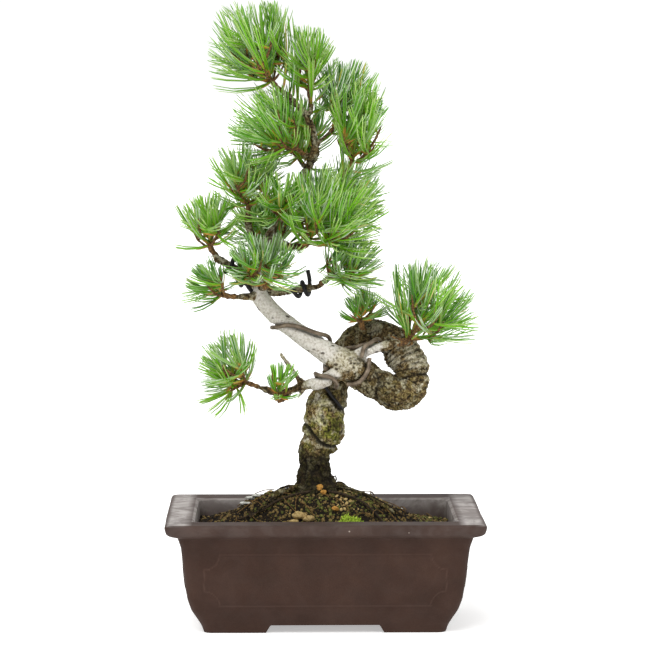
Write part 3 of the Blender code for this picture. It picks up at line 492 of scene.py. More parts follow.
# Grooves that wires have left: their depth and half width, and the places that they pass through
wireScars = (
    (1.5, 1.4, ((-1, -11, 139), (1.5, -12, 136), (5, -12.4, 131), (8.5, -11, 126), (10.8, -7, 123.4),
                (12.4, -1, 122.4), (10, 8, 120), (1, 12, 118), (-8, 9.5, 116.5), (-11.8, 0, 115.2),
                (-10.4, -6.5, 113.8))),
    (2.6, 1.0, ((-10.4, -6.5, 113.8), (-8.2, -9.4, 111), (-6, -10.8, 108.4), (-4, -11, 106),
                (-2, -11.3, 104.2), (0.5, -11, 102.7), (4, -9.5, 101.6), (7, -5.5, 101), (8.6, 0, 100.8),
                (6, 7, 101.5))),
    (1.1, 1.0, ((20, -20, 141), (15, -19.5, 137.5), (12, -16, 136.5))),
    (1.3, 1.0, ((36, -2, 143.5), (40, -9, 142.2), (45, -11, 142), (51, -11, 143.2), (58, -6, 143.5),
                (60.5, 2, 143))),
    (1.2, 1.1, ((31, -17, 146), (31, -17, 139), (29, -17, 133), (30, -12, 128.5))),
)
# Moss and damp that lie in patches: middle and reach, how mossy, how dark
mossPatches = (
    ((6, -11, 114), 4.4, 1.5, 1.0), ((2, -12, 108), 4.5, 1.1, 0.1), ((9, -9, 107), 4, 1.0, 0.35),
    ((-2, -12, 118), 5, 0.75, 0), ((-7, -9, 122), 5, 0.1, 0), ((-10, -10, 102), 2.6, 1.2, 0),
    ((-4, -11, 103), 4, 0.1, 0.05), ((-13, -4, 97), 3, 0.9, 0.8),
)
# Places where the limb swells or is drawn in: middle, reach and rise
barkSwells = (
    ((-9.5, -5, 130), 5.5, -2.2), ((9.5, -2, 99.5), 3.6, -2.2), ((10, -4, 107), 3.2, 0.9),
    ((-12, -5, 104), 3.4, 1.2), ((12, -5, 113), 4, 0.7), ((39, -2, 152), 6.5, 2.8),
)
lowLimbs = ("bough_low_left", "bough_low_right", "bough_loop", "twig_low_inner", "dead_twig_upper",
            "dead_twig_lower", "cut_stub")
crownLimbs = tuple(name for name in limbRows if name.startswith("bough_crown"))


def makeBarkMaterial():
    # Pine bark, grown and weathered: silver and smooth where young, corky, cracked and mossy where old.
    # Its flecks are about 1 mm, its brown and grey patches 6 to 12 mm and the pores of the young bark 1 mm.
    material, tree, shader, place = newMaterial("pineBarkWeathered", Roughness=0.88, Specular_IOR_Level=0.2)
    zones = addNode(tree, "ShaderNodeAttribute", attribute_name="barkZones")
    pale, moss, dark = addNode(tree, "ShaderNodeSeparateColor", zones).outputs
    fleck = addNode(tree, "ShaderNodeTexNoise", place, Scale=760, Detail=6, Roughness=0.7)
    cloud = addNode(tree, "ShaderNodeTexNoise", place, Scale=150, Detail=6, Roughness=0.66)
    brown, grey, crust, young, mossTone = (
        addNode(tree, "ShaderNodeValToRGB", fleck, stops=stops) for stops in barkLook["tones"].values())
    greyShare = addNode(tree, "ShaderNodeMapRange", cloud, 0.49, 0.58, interpolation_type="SMOOTHSTEP")
    old = addNode(tree, "ShaderNodeMix", greyShare, brown, grey, data_type="RGBA")
    silver = addNode(tree, "ShaderNodeMapRange", pale, 0.72, 0.93, interpolation_type="SMOOTHSTEP")
    youngest = addNode(tree, "ShaderNodeMix", silver, crust, young, data_type="RGBA")
    # The pale bark ends in patches, not along a line.
    patchy = addNode(tree, "ShaderNodeMath", cloud, -2.4, 1.7, operation="MULTIPLY_ADD")
    margin = addNode(tree, "ShaderNodeMath", pale, patchy, operation="SUBTRACT")
    paleShare = addNode(tree, "ShaderNodeMapRange", margin, -0.2, 0.2, interpolation_type="SMOOTHSTEP")
    bare = addNode(tree, "ShaderNodeMix", paleShare, old, youngest, data_type="RGBA")

    # Pores of the young bark: flat dark ovals about 1 mm wide, one every 5 mm or so
    turned = addNode(tree, "ShaderNodeMapping", place, Rotation=(0, math.radians(-38), 0), Scale=(0.62, 1, 1))
    cells = addNode(tree, "ShaderNodeTexVoronoi", turned, Scale=250)
    ovals = addNode(tree, "ShaderNodeMapRange", cells, 0.27, 0.15, interpolation_type="SMOOTHSTEP")
    areas = addNode(tree, "ShaderNodeTexNoise", place, Scale=120, Detail=1, Roughness=0.5)
    some = addNode(tree, "ShaderNodeMapRange", areas, 0.42, 0.5, interpolation_type="SMOOTHSTEP")
    pores = addNode(tree, "ShaderNodeMath", ovals, some, operation="MULTIPLY")
    pores = addNode(tree, "ShaderNodeMath", pores, 0.9, operation="MULTIPLY")
    porous = addNode(tree, "ShaderNodeMix", pores, bare, barkLook["poreColour"], data_type="RGBA")

    # Moss film and the damp dark foot, and painted shade in cracks, pits and wire grooves, darker the deeper
    # they lie
    tufts = addNode(tree, "ShaderNodeTexNoise", place, Scale=260, Detail=6, Roughness=0.75)
    tufts = addNode(tree, "ShaderNodeMapRange", tufts, 0.4, 0.58, interpolation_type="SMOOTHSTEP")
    film = addNode(tree, "ShaderNodeMath", tufts, moss, operation="MULTIPLY", use_clamp=True)
    colour = addNode(tree, "ShaderNodeMix", film, porous, mossTone, data_type="RGBA")
    # The zones' alpha is painted shade: near-black brown in cracks, pits and wire grooves
    for source, tone, kind in ((dark, barkLook["dampColour"], "MULTIPLY"),
                               (zones.outputs["Alpha"], barkLook["crackShadeColour"], "MIX")):
        share = addNode(tree, "ShaderNodeMath", source, 0.92, operation="MULTIPLY")
        colour = addNode(tree, "ShaderNodeMix", share, colour, tone, data_type="RGBA", blend_type=kind)
    rise = addNode(tree, "ShaderNodeMath", pores, -0.5, fleck, operation="MULTIPLY_ADD")
    bump = addNode(tree, "ShaderNodeBump", Strength=0.9, Distance=0.6 * mm, Height=rise)
    setInputs(tree, shader, Base_Color=colour, Normal=bump)
    return material


def placeTree(spots):
    # A search tree over the places that the spots start with, and the spots.
    tree = kdtree.KDTree(len(spots))
    for i, (place, *_) in enumerate(spots):
        tree.insert(place, i)
    tree.balance()
    return tree, spots


def zoneFinder(names):
    # Where each place of the limbs lies, how thick it is there and the bark's finish.
    spots = []
    for name in names:
        table = limbFinish["root"] if name.startswith("root") else limbFinish.get(name, limbFinish["other"])
        first, last = 0, 0
        if name == "trunk":
            table = trunkFinish
            first, last = barkLook["wrinkledRows"]
        columns = np.array(table, float).T
        for place, radius, row in smoothLine(limbPoints[name], 1.5 * mm):
            finish = [float(np.interp(row, columns[0], column)) for column in columns[1:]]
            spots.append((place, radius, np.array((*finish, row, float(first < row < last)))))
    return placeTree(spots)


def scarFinder(thing):
    # The grooves' middle lines, laid onto the limb's own surface. The wires have bitten in a little too.
    rows = [(depth * mm, width * mm, smoothLine([(Vector(row) * mm, 0) for row in spots], 0.5 * mm))
            for depth, width, spots in wireScars]
    bitten = [name for name, row in wireRows.items() if row[0] == "bronze"]
    for name in (*bitten, "wire_old"):
        bite = barkLook["wireBite" if name in bitten else "oldBite"]
        rows.append((*bite, smoothLine(wireLines[name], 0.7 * mm)))
    spots = []
    for depth, width, line in rows:
        for place, *_ in line:
            found, surface, _, _ = thing.closest_point_on_mesh(place)
            if found and (surface - place).length < 5 * mm:
                spots.append((surface, depth, width))
    return placeTree(spots)


def barkRise(point, finish, scars):
    # How far the bark stands out from the swept limb at a point, and how deep a hollow it lies in, 0 to 1.
    pale, _, dark, pits, row, wrinkle = finish
    look = barkLook
    rough = 1 - min(1, max(0, 2.2 * pale - 1.1))
    rise = noise.noise(point / look["lumpSize"]) * look["lumpRise"] * (0.3 + 0.7 * rough)
    detail = noise.noise(point / look["plateSize"]) * look["plateRise"] * (0.15 + 0.85 * rough)
    detail += noise.noise(point / look["grainSize"]) * look["grainRise"] * (0.4 + 0.6 * rough)
    if rough > 0.05:  # cracks where the old bark has split into plates
        span, reach = look["crackBend"]
        bent = point + noise.noise_vector(point / span) * reach
        near = noise.voronoi(Vector((bent.x, bent.y, bent.z * 0.75)) / look["crackSpan"])[0]
        inCrack = max(0.0, 1 - (near[1] - near[0]) / look["crackShare"])
        detail -= inCrack * look["crackDepth"] * rough * (0.7 + 0.5 * dark)
    if pits > 0.3:
        distance = noise.voronoi(point / look["pitSize"])[0][0]
        inPit = max(0.0, look["pitShare"] - distance) / look["pitShare"]
        detail -= inPit * look["pitDepth"] * (pits - 0.2)
    if wrinkle > 0:  # folds across the limb, where it bends hard
        wander = 2.2 * noise.noise(point / look["wrinkleWander"])
        detail += math.sin(row * math.tau * look["wrinklesPerRow"] + wander) * look["wrinkleRise"] * wrinkle
    if point.z < look["fluteTop"]:
        turn = math.atan2(point.y, point.x + look["fluteMiddle"])
        share = min(1.0, (look["fluteTop"] - point.z) / look["fluteFade"])
        wander = noise.noise(point / look["fluteWander"]) * 1.6
        rise += math.sin(look["flutes"] * turn + wander) * look["fluteRise"] * share
        fibre = Vector((math.cos(turn), math.sin(turn), point.z / look["fibreStretch"])) * look["fibreScale"]
        detail += noise.noise(fibre) * look["fibreRise"] * share
        detail -= max(0.0, 1 - abs(noise.noise(fibre * 1.3 + up * 9)) / 0.09) * look["crackDepth"] * share
    scar = 0.0
    scarTree, spots = scars
    for _, index, distance in scarTree.find_n(point, 1):
        _, depth, width = spots[index]
        if distance < 4 * width:
            scar = depth * math.exp(-(distance / width) ** 2)
            rise += look["scarLip"] * depth * math.exp(-((distance - 2.2 * width) / (0.9 * width)) ** 2)
    for place, reach, swell in barkSwells:
        rise += swell * mm * math.exp(-((point - Vector(place) * mm).length / (reach * mm)) ** 2)
    # How deep the point lies in a crack, pit or groove, 0 to 1, which sets the painted shade there
    hollow = max(0.0, -detail - look["shadeFrom"]) / look["shadeDepth"] + scar / look["scarShadeDepth"]
    return rise + detail - scar, min(1.0, hollow)


def barkPiece(name, lines, voxel, *materials):
    # The limbs grown into one another, with the relief of their bark, thinned out where it is too fine.
    batch = Batch()
    for limb, line in lines.items():
        sides = barkLook["trunkSides" if limb == "trunk" else "limbSides"]
        batch.addLoft(sweepRings(line, sides, up if (limb, name) == ("trunk", "trunkBark") else None))
    thing = batch.build(name, *materials)
    melt = thing.modifiers.new("Melt", "REMESH")
    melt.mode = "VOXEL"
    melt.voxel_size = voxel
    soften = thing.modifiers.new("Soften", "SMOOTH")
    soften.factor = 0.5
    soften.iterations = barkLook["softenings"]
    applied(thing)
    mesh = thing.data
    zoneTree, spots = zoneFinder(lines)
    scars = scarFinder(thing)
    count = len(mesh.vertices)
    places, colours = np.zeros((count, 3)), np.zeros((count, 4), np.float32)
    for i, vertex in enumerate(mesh.vertices):
        point = vertex.co
        near = [(abs(distance - spots[index][1]), index) for _, index, distance in zoneTree.find_n(point, 16)]
        near = sorted(near)[:4]
        weights = [1 / (space + 0.5 * mm) ** 2 for space, _ in near]
        finish = sum(w * spots[index][2] for w, (_, index) in zip(weights, near)) / sum(weights)
        # Undersides are kept less pale: painted shade where the bark faces down.
        finish[0] *= min(1, max(0.92 if finish[0] > 0.9 else 0.5, 1.15 + 1.1 * vertex.normal.z))
        for place, reach, *growth in mossPatches:
            share = math.exp(-((point - Vector(place) * mm).length / (reach * mm)) ** 2)
            for k in (0, 1):
                finish[1 + k] += (growth[k] - finish[1 + k]) * share
        rise, hollow = barkRise(point, finish, scars)
        places[i] = point + vertex.normal * rise
        colours[i] = (*finish[:3], hollow)
    mesh.vertices.foreach_set("co", places.ravel())
    zones = mesh.attributes.new("barkZones", "FLOAT_COLOR", "POINT")
    zones.data.foreach_set("color", colours.ravel())
    mesh.update()
    triangles = sum(len(face.vertices) - 2 for face in mesh.polygons)
    if triangles > barkLook["mostTriangles"]:
        thing.modifiers.new("Thin", "DECIMATE").ratio = barkLook["mostTriangles"] / triangles
        applied(thing)
    thing.data.shade_smooth()
    return thing


def makeBark():
    bark = makeBarkMaterial()
    fine = {name: smoothLine(points, 1.2 * mm) for name, points in limbPoints.items()}
    low = [row for row in fine["trunk"] if row[2] <= barkLook["lastLowRow"]]
    high = [row for row in fine["trunk"] if row[2] >= barkLook["firstCrownRow"]]
    buried = (low[0][0] - up * 3 * mm, low[0][1] * 1.04, 0.0)
    lowNames = (*rootRows, *lowLimbs)
    lines = {"trunk": [buried, *low], **{name: fine[name] for name in lowNames}}
    trunkBark = barkPiece("trunkBark", lines, barkLook["trunkVoxel"], bark)
    lines = {"trunk": high, **{name: fine[name] for name in crownLimbs}}
    crownBark = barkPiece("crownBark", lines, barkLook["crownVoxel"], bark)
    finishPiece(trunkBark, "trunk_bark", "trunk", *lowNames)
    finishPiece(crownBark, "brown_bark", *crownLimbs)


# Training wires, laid on the bark as in the CAD

wireRows = {
    "wire_pale_stretch": ("bronze", 1.2, (
        (-27, 1, 168), (-30.5, -4, 171.6), (-24, -10.5, 172.2), (-17, -13.5, 172.6), (-9, -14.5, 171.2),
        (-3.5, -13.5, 168.3), (0.2, -10, 164), (3.5, -3.5, 160.5), (3, -1.5, 154), (0.6, -6, 150),
        (1.8, -12.5, 147.8))),
    "wire_fork": ("bronze", 1.2, (
        (-3, -9.5, 137.4), (-6, -12, 139.5), (-4.5, -17, 142.3), (-1, -19, 143.9), (3, -20, 143.9),
        (6, -21.5, 142.3), (8, -21.5, 139.5), (8.6, -18.5, 136), (8.5, -15.5, 133.5))),
    "wire_knob": ("bronze", 1.2, (
        (12, -18.5, 136.9), (17, -21, 137.5), (21, -22.5, 140.8), (24, -22.5, 145), (26, -21, 149),
        (26.5, -18.5, 152), (25.6, -17, 153.6))),
    "wire_fork_back": ("bronze", 1.2, (
        (12.5, -4, 158), (14.5, -5, 160.3), (17.5, -6, 162.3), (21, -7, 163), (24.5, -8, 162.3))),
    "wire_low_right": ("bronze", 1.2, (
        (21.2, -18.5, 154.5), (22, -18.5, 157.5), (24.2, -17, 160.3), (28, -15, 162.6), (31.5, -12.5, 163.3),
        (33.5, -9.5, 161.5), (34, -9.5, 158.8))),
    "wire_old": ("black", 0.9, (
        (-1.5, -10, 138), (2, -11.5, 135.2), (5.5, -11.5, 130.8), (8.8, -10.5, 126.6), (11.5, -8, 123.5))),
    "wire_crown_left": ("black", 1.2, (
        (-41, -9, 191.5), (-45, -9.5, 196), (-48.3, -8, 201), (-47, -2, 204), (-44.5, 0.5, 200),
        (-45.5, -4, 193.5), (-50, -10, 196.5), (-53.5, -11, 201.5), (-54.5, -7.5, 208.5), (-52, -2.5, 207),
        (-52.5, -2.5, 202), (-56, -7, 202.5))),
    "wire_crown_low_right": ("black", 1.2, (
        (-19, -2, 193), (-16.5, -2.6, 190.5), (-14.5, 2, 187.4), (-13, 6.2, 191), (-12.5, 2, 196),
        (-11, -2.8, 192.8), (-9.5, 1, 188), (-8, 5.2, 191.5), (-8.5, 2, 196.5), (-9, -1.5, 199.5),
        (-9.3, -3, 202.5))),
}
wireLook = {
    "sides": 14, "step": 0.7 * mm, "thicker": 1.12, "brokenEdge": 0.15 * mm,
    "oldThinner": 0.85, "sunk": 1.5 * mm,  # the old wire has grown into the bark
    "metals": {  # fresh and worn colour, roughness, metallic
        "bronze": ("5E5143", "8A7B69", 0.42, 0.35),
        "black": ("100F10", "262423", 0.55, 0.1),
    },
}


def nearestOn(line, point):
    # How near the point lies to a limb's line, the place on it, and the limb's radius there.
    best = (1e9, None, 0)
    for (a, ra, *_), (b, rb, *_) in zip(line, line[1:]):
        along = b - a
        share = max(0.0, min(1.0, (point - a).dot(along) / max(along.length_squared, 1e-12)))
        place = a + along * share
        distance = (point - place).length
        if distance < best[0]:
            best = (distance, place, ra * (1 - share) + rb * share)
    return best


def pushedClear(point, lines, clear):
    for _ in range(12):
        moved = False
        for line in lines.values():
            distance, place, radius = nearestOn(line, point)
            lack = radius + clear - distance
            if lack > 1e-6:
                point = point + (point - place).normalized() * lack
                moved = True
        if not moved:
            break
    return point


def pulledDown(point, lines, clear):
    near = [nearestOn(line, point) for line in lines.values()]
    space, place = min(((d - r - clear, place) for d, place, r in near), key=lambda found: found[0])
    if 0 < space < 5 * mm:
        point = point + (place - point).normalized() * space * 0.5
    return point


def layWires():
    # Each wire's line, as (place, radius).
    laid = {}
    for name, (_, radius, rough) in wireRows.items():
        clear = radius * mm + 1.5 * gap
        obstacles = {**ruleLines, **laid}
        marks = [(Vector(spot) * mm, 0) for spot in rough]
        points = [row[0] for row in smoothLine(marks, ruleStep["wire"])]
        for _ in range(6):
            points = [pulledDown(point, ruleLines, clear) for point in points]
            inner = [(a + 2 * b + c) / 4 for a, b, c in zip(points, points[1:], points[2:])]
            points = [points[0], *inner, points[-1]]
            points = [pushedClear(point, obstacles, clear) for point in points]
        laid[name] = [(point, radius * mm) for point in points]
    return laid


def makeWireMaterial(metal):
    # Drawn aluminium wire, anodised bronze or black: satin, with a thin worn film and scuffs about 3 mm long.
    fresh, worn, rough, metallic = wireLook["metals"][metal]
    material, tree, shader, place = newMaterial(
        metal + "AnodisedWireDrawn", Metallic=metallic, Specular_IOR_Level=0.3)
    film = addNode(tree, "ShaderNodeTexNoise", place, Scale=330, Detail=4)
    tone = addNode(tree, "ShaderNodeValToRGB", film, stops=((0.4, fresh), (0.7, worn)))
    gloss = addNode(tree, "ShaderNodeMapRange", film, To_Min=rough - 0.08, To_Max=rough + 0.14)
    bump = addNode(tree, "ShaderNodeBump", Strength=0.3, Distance=0.1 * mm, Height=film)
    setInputs(tree, shader, Base_Color=tone, Roughness=gloss, Normal=bump)
    return material


def wireRings(points, radius):
    # A round wire with cut ends that are just broken at their edges.
    line = smoothLine(points, wireLook["step"])
    ends = []
    for end, inner in ((line[0][0], line[1][0]), (line[-1][0], line[-2][0])):
        ahead = (inner - end).normalized()
        ends.append([(end, radius * 0.8), (end + ahead * wireLook["brokenEdge"], radius)])
    rows = [*ends[0], *[row[:2] for row in line[1:-1]], *reversed(ends[1])]
    return sweepRings(rows, wireLook["sides"], pressed=False)


def makeWires():
    for metal in wireLook["metals"]:
        names = [name for name, row in wireRows.items() if row[0] == metal]
        batch = Batch()
        for name in names:
            line, thicker = wireLines[name], wireLook["thicker"]
            if name == "wire_old":
                thicker = wireLook["oldThinner"]
                middles = [nearestOn(ruleLines["trunk"], point)[1] for point, _ in line]
                line = [(point + (middle - point).normalized() * wireLook["sunk"], radius)
                        for (point, radius), middle in zip(line, middles)]
            batch.addLoft(wireRings(line, wireRows[name][1] * thicker * mm))
        wires = batch.build(metal + "Wires", makeWireMaterial(metal))
        wires.data.shade_smooth()
        wires.data.set_sharp_from_angle(angle=math.radians(40))
        finishPiece(wires, metal + "_wire", *names)


wireLines = layWires()
makeWires()
report("wires")
makeBark()
report("bark")


# Pot

potLook = {
    "length": 180 * mm, "depth": 118 * mm, "floorTop": 10.5 * mm, "footHeight": 4.6 * mm,
    "recessHalf": (57 * mm, 26 * mm), "recessCorner": 6 * mm, "footEdge": ((0.5, 0), (-2.4, 0.5), (-3, 0)),
    "footGaps": (33.5 * mm, 17 * mm),  # half the gap between the feet, along the long and the short sides
    "drainRadius": 7 * mm, "drainOffset": 34 * mm, "gridStep": 0.9 * mm, "cornerSteps": 9,
    "gridHalf": (83 * mm, 52 * mm), "panelHalf": 68 * mm, "panelLow": 17 * mm, "panelHigh": 46.5 * mm,
    "scoop": 8.5 * mm, "panelRise": 0.8 * mm, "panelEdge": 0.9 * mm, "handPressed": 0.35 * mm,
    "handScale": 28, "rimLow": 60 * mm, "rimTop": 63 * mm, "innerWall": (75.6 * mm, 44.6 * mm),
    "sharpDegrees": 38,
    "clay": ((0.3, "35231B"), (0.5, "3B2820"), (0.72, "412D24")),
    "grog": ((0.3, "C8C0BA"), (0.7, "FFFFFF")),
    "chips": ((0.4, "1A110D"), (0.75, "1F1511"), (0.8, "9C8E84")),
    "film": "C4BEBB", "edgeHighlight": "6B5248",
}
# Half the length, the height and the corner radius, from the foot up and then down inside
potOutside = (
    (68.6, 0, 5), (69.8, 4, 5), (71.9, 7.8, 5), (75.2, 13.5, 5), (77.4, 20, 5), (78.8, 29.5, 5),
    (80, 41, 5), (81.1, 50, 5), (83, 56, 5), (87.4, 57.7, 4), (89, 59, 4), (89.8, 61.5, 4),
    (90, 63.3, 4), (88.8, 64.5, 4),
)
potInside = (
    (75.2, 64.5, 6), (73.4, 63.2, 6), (72.9, 60, 7), (72, 45, 7), (70, 27, 8), (66.5, 14, 9), (62, 10.5, 9),
)
narrower = (potLook["length"] - potLook["depth"]) / 2


def roundedRing(halfLength, halfDepth, height, corner, sides=(0, 0)):
    # A rounded rectangle. sides gives the extra points along its long and short sides.
    steps = potLook["cornerSteps"]
    corners = []
    for quarter, (sx, sy) in enumerate(((1, 1), (-1, 1), (-1, -1), (1, -1))):
        midX, midY = sx * (halfLength - corner), sy * (halfDepth - corner)
        turns = [math.radians(90 * (quarter + k / steps)) for k in range(steps + 1)]
        corners.append([Vector((midX + corner * math.cos(turn), midY + corner * math.sin(turn), height))
                        for turn in turns])
    ring = []
    for i, arc in enumerate(corners):
        count = sides[i % 2]
        ring += arc
        ring += [arc[-1].lerp(corners[(i + 1) % 4][0], (k + 1) / (count + 1)) for k in range(count)]
    return ring


def resampled(rows, step):
    # The profile's rows with others put between them, so that none is further apart than step.
    finer = [rows[0]]
    for a, b in zip(rows, rows[1:]):
        pieces = max(1, math.ceil(math.hypot(b[0] - a[0], b[1] - a[1]) * mm / step))
        finer += [tuple(u + (v - u) * k / pieces for u, v in zip(a, b)) for k in range(1, pieces + 1)]
    return finer


def softened(rows, rounds):
    for _ in range(rounds):
        rows = [rows[0], *[tuple((u + 2 * v + w) / 4 for u, v, w in zip(a, b, c))
                           for a, b, c in zip(rows, rows[1:], rows[2:])], rows[-1]]
    return rows


def panelShare(across, height, half):
    # 1 on a raised panel, 0 off it, with a soft edge. Its corners are scooped out.
    middle = (potLook["panelLow"] + potLook["panelHigh"]) / 2
    halfHeight = (potLook["panelHigh"] - potLook["panelLow"]) / 2
    dx, dz = abs(across) - half, abs(height - middle) - halfHeight
    outside = max(dx, dz, potLook["scoop"] - math.hypot(dx, dz))
    return min(1.0, max(0.0, 0.5 - outside / potLook["panelEdge"]))


def makeStoneware():
    # Unglazed stoneware, pressed and fired brown: a satin skin with a fine grog, and films of lime and dust.
    # The rim's top also carries painted sheen, and the panels' edges a painted highlight.
    # Grog is under 1 mm, the clay's clouds 15 mm, and the lime film 8 to 20 mm.
    material, tree, shader, place = newMaterial("stonewarePressedUnglazed", Specular_IOR_Level=0.12)
    cloud = addNode(tree, "ShaderNodeTexNoise", place, Scale=55, Detail=4)
    clay = addNode(tree, "ShaderNodeValToRGB", cloud, stops=potLook["clay"])
    grog = addNode(tree, "ShaderNodeTexNoise", place, Scale=1500, Detail=3)
    grogTone = addNode(tree, "ShaderNodeValToRGB", grog, stops=potLook["grog"])
    grained = addNode(tree, "ShaderNodeMix", 0.35, clay, grogTone, data_type="RGBA", blend_type="MULTIPLY")
    # Chips and grains on the skin, each pale or dark as a whole
    chips = addNode(tree, "ShaderNodeTexVoronoi", place, Scale=62)
    chip = addNode(tree, "ShaderNodeMapRange", chips, 0.035, 0.018)
    luck = addNode(tree, "ShaderNodeSeparateColor", chips.outputs["Color"])
    chipTone = addNode(tree, "ShaderNodeValToRGB", luck, stops=potLook["chips"])
    chipped = addNode(tree, "ShaderNodeMix", chip, grained, chipTone, data_type="RGBA")

    # The rim's flat top: pale with lime at the pot's ends, and clean along its outer edge. Its pale is partly
    # lime film and partly painted sheen, lighter where it faces up and towards the ends.
    x, y, z = addNode(tree, "ShaderNodeSeparateXYZ", place).outputs
    farX = addNode(tree, "ShaderNodeMath", x, operation="ABSOLUTE")
    farY = addNode(tree, "ShaderNodeMath", y, operation="ABSOLUTE")
    facing = addNode(tree, "ShaderNodeNewGeometry").outputs["Normal"]
    lean = addNode(tree, "ShaderNodeSeparateXYZ", facing).outputs["Z"]
    level = addNode(tree, "ShaderNodeMapRange", lean, 0.45, 0.9, interpolation_type="SMOOTHSTEP")
    high = addNode(tree, "ShaderNodeMapRange", z, potLook["rimLow"], potLook["rimTop"])
    ends = addNode(tree, "ShaderNodeMapRange", farX, 74 * mm, 79 * mm, 0.03, 0.8)
    deeper = addNode(tree, "ShaderNodeMath", farY, narrower, operation="ADD")
    outmost = addNode(tree, "ShaderNodeMath", farX, deeper, operation="MAXIMUM")
    margin = addNode(
        tree, "ShaderNodeMapRange", outmost, 89 * mm, 86.4 * mm, 0.25, interpolation_type="SMOOTHSTEP")
    # The rim's top mask: lime film, and painted sheen where light glances on the upward faces
    top = level
    for share in (high, ends, margin):
        top = addNode(tree, "ShaderNodeMath", top, share, operation="MULTIPLY")

    # Above the soil the inside is pale too, and a little dust lies on the rim's lip.
    inside = addNode(tree, "ShaderNodeMapRange", z, 50 * mm, 62 * mm, 0, 0.55)
    for far, wall in zip((farX, farY), potLook["innerWall"]):
        within = addNode(tree, "ShaderNodeMapRange", far, wall, wall - mm)
        inside = addNode(tree, "ShaderNodeMath", inside, within, operation="MULTIPLY")
    rimDust = addNode(tree, "ShaderNodeMapRange", z, 55 * mm, 59 * mm, 0.012, 0.06)
    where = rimDust
    for share in (top, inside):
        where = addNode(tree, "ShaderNodeMath", where, share, operation="MAXIMUM")
    lime = addNode(tree, "ShaderNodeTexNoise", place, Scale=85, Detail=6, Roughness=0.62, Distortion=0.6)
    limeShare = addNode(tree, "ShaderNodeMapRange", lime, 0.36, 0.66, interpolation_type="SMOOTHSTEP")
    film = addNode(tree, "ShaderNodeMath", limeShare, 0.55, 0.45, operation="MULTIPLY_ADD", use_clamp=True)
    film = addNode(tree, "ShaderNodeMath", film, where, operation="MULTIPLY")
    dusty = addNode(tree, "ShaderNodeMix", film, chipped, potLook["film"], data_type="RGBA")

    # The panels' edges, painted a little paler: a painted highlight along the raised panels
    edge = addNode(tree, "ShaderNodeAttribute", attribute_name="wornEdge").outputs["Fac"]
    worn = addNode(tree, "ShaderNodeMath", edge, 0.2, operation="MULTIPLY")
    colour = addNode(tree, "ShaderNodeMix", worn, dusty, potLook["edgeHighlight"], data_type="RGBA")
    gloss = addNode(tree, "ShaderNodeMapRange", film, To_Min=0.66, To_Max=0.8)
    height = addNode(tree, "ShaderNodeMath", grog, chip, operation="SUBTRACT")
    height = addNode(tree, "ShaderNodeMath", cloud, 2.0, height, operation="MULTIPLY_ADD")
    bump = addNode(tree, "ShaderNodeBump", Strength=0.28, Distance=0.25 * mm, Height=height)
    setInputs(tree, shader, Base_Color=colour, Roughness=gloss, Normal=bump)
    return material


def cutWith(thing, rings, name):
    cutter = lofted(name, rings)
    modifier = thing.modifiers.new(name, "BOOLEAN")
    modifier.operation = "DIFFERENCE"
    modifier.solver = "EXACT"
    modifier.object = cutter
    applied(thing)
    bpy.data.objects.remove(cutter, do_unlink=True)


def makePot():
    look = potLook
    step = look["gridStep"]
    sides = [round(2 * half / step) for half in look["gridHalf"]]
    outside = softened(resampled(potOutside[:9], step), 3)
    outside += softened(resampled(potOutside[8:], 0.8 * mm), 1)[1:]
    inside = softened(resampled((potOutside[-1], *potInside[:2]), 0.9 * mm), 1)[1:]
    inside += resampled(potInside[1:], 3 * mm)[1:]
    # Which way a panel stands out, which way it runs and half its length
    panels = ((1, 0, look["panelHalf"]), (0, 1, look["panelHalf"] - narrower))
    rings, worn = [], []
    for half, height, corner in outside + inside:
        halves = (half * mm, half * mm - narrower)
        ring = roundedRing(*halves, height * mm, corner * mm, sides)
        for point in ring:
            share = 0.0
            for out, across, panelHalf in panels if len(rings) < len(outside) else ():
                if abs(point[out]) > halves[out] - 0.01 * mm:
                    share = panelShare(point[across], point.z, panelHalf)
                    point[out] += math.copysign(look["panelRise"] * share, point[out])
                    break
            # How much a point lies on a panel's soft edge, which sets the painted highlight there
            worn.append(4 * share * (1 - share))
        for point in ring:  # hand-pressed walls are never quite true
            seen = point * look["handScale"]
            point += Vector((noise.noise(seen), noise.noise(seen + up), 0)) * look["handPressed"]
        rings.append(ring)
    pot = lofted("pot_stoneware", rings, makeStoneware())
    pot.data.attributes.new("wornEdge", "FLOAT", "POINT").data.foreach_set("value", worn)

    foot = look["footHeight"]
    recess = [roundedRing(*look["recessHalf"], z, look["recessCorner"]) for z in (-mm, foot)]
    cutWith(pot, recess, "recess")
    # The gaps between the feet, narrower above than below
    edge = [(wider, height) for (wider, _), height in zip(look["footEdge"], (-mm, foot - 0.5 * mm, foot))]
    outline = [(1, *row) for row in edge] + [(-1, *row) for row in reversed(edge)]
    directions = (Vector((1, 0, 0)), Vector((0, 1, 0)))
    for half, across, through in zip(look["footGaps"], directions, reversed(directions)):
        profile = [across * sign * (half + wider * mm) + up * height for sign, wider, height in outline]
        cutWith(pot, [[point + through * reach for point in profile] for reach in (-0.2, 0.2)], "foot gap")
    radius = look["drainRadius"]
    turns = [math.tau * k / 24 for k in range(24)]
    for middle in (-look["drainOffset"], look["drainOffset"]):
        cutWith(pot, [[Vector((middle + radius * math.cos(t), radius * math.sin(t), z)) for t in turns]
                      for z in (-mm, look["floorTop"] + 2 * mm)], "drain")
    pot.data.shade_smooth()
    pot.data.set_sharp_from_angle(angle=math.radians(look["sharpDegrees"]))
    finishPiece(pot, "stoneware", "pot")


makePot()
report("pot")


# Soil, stones, litter and moss

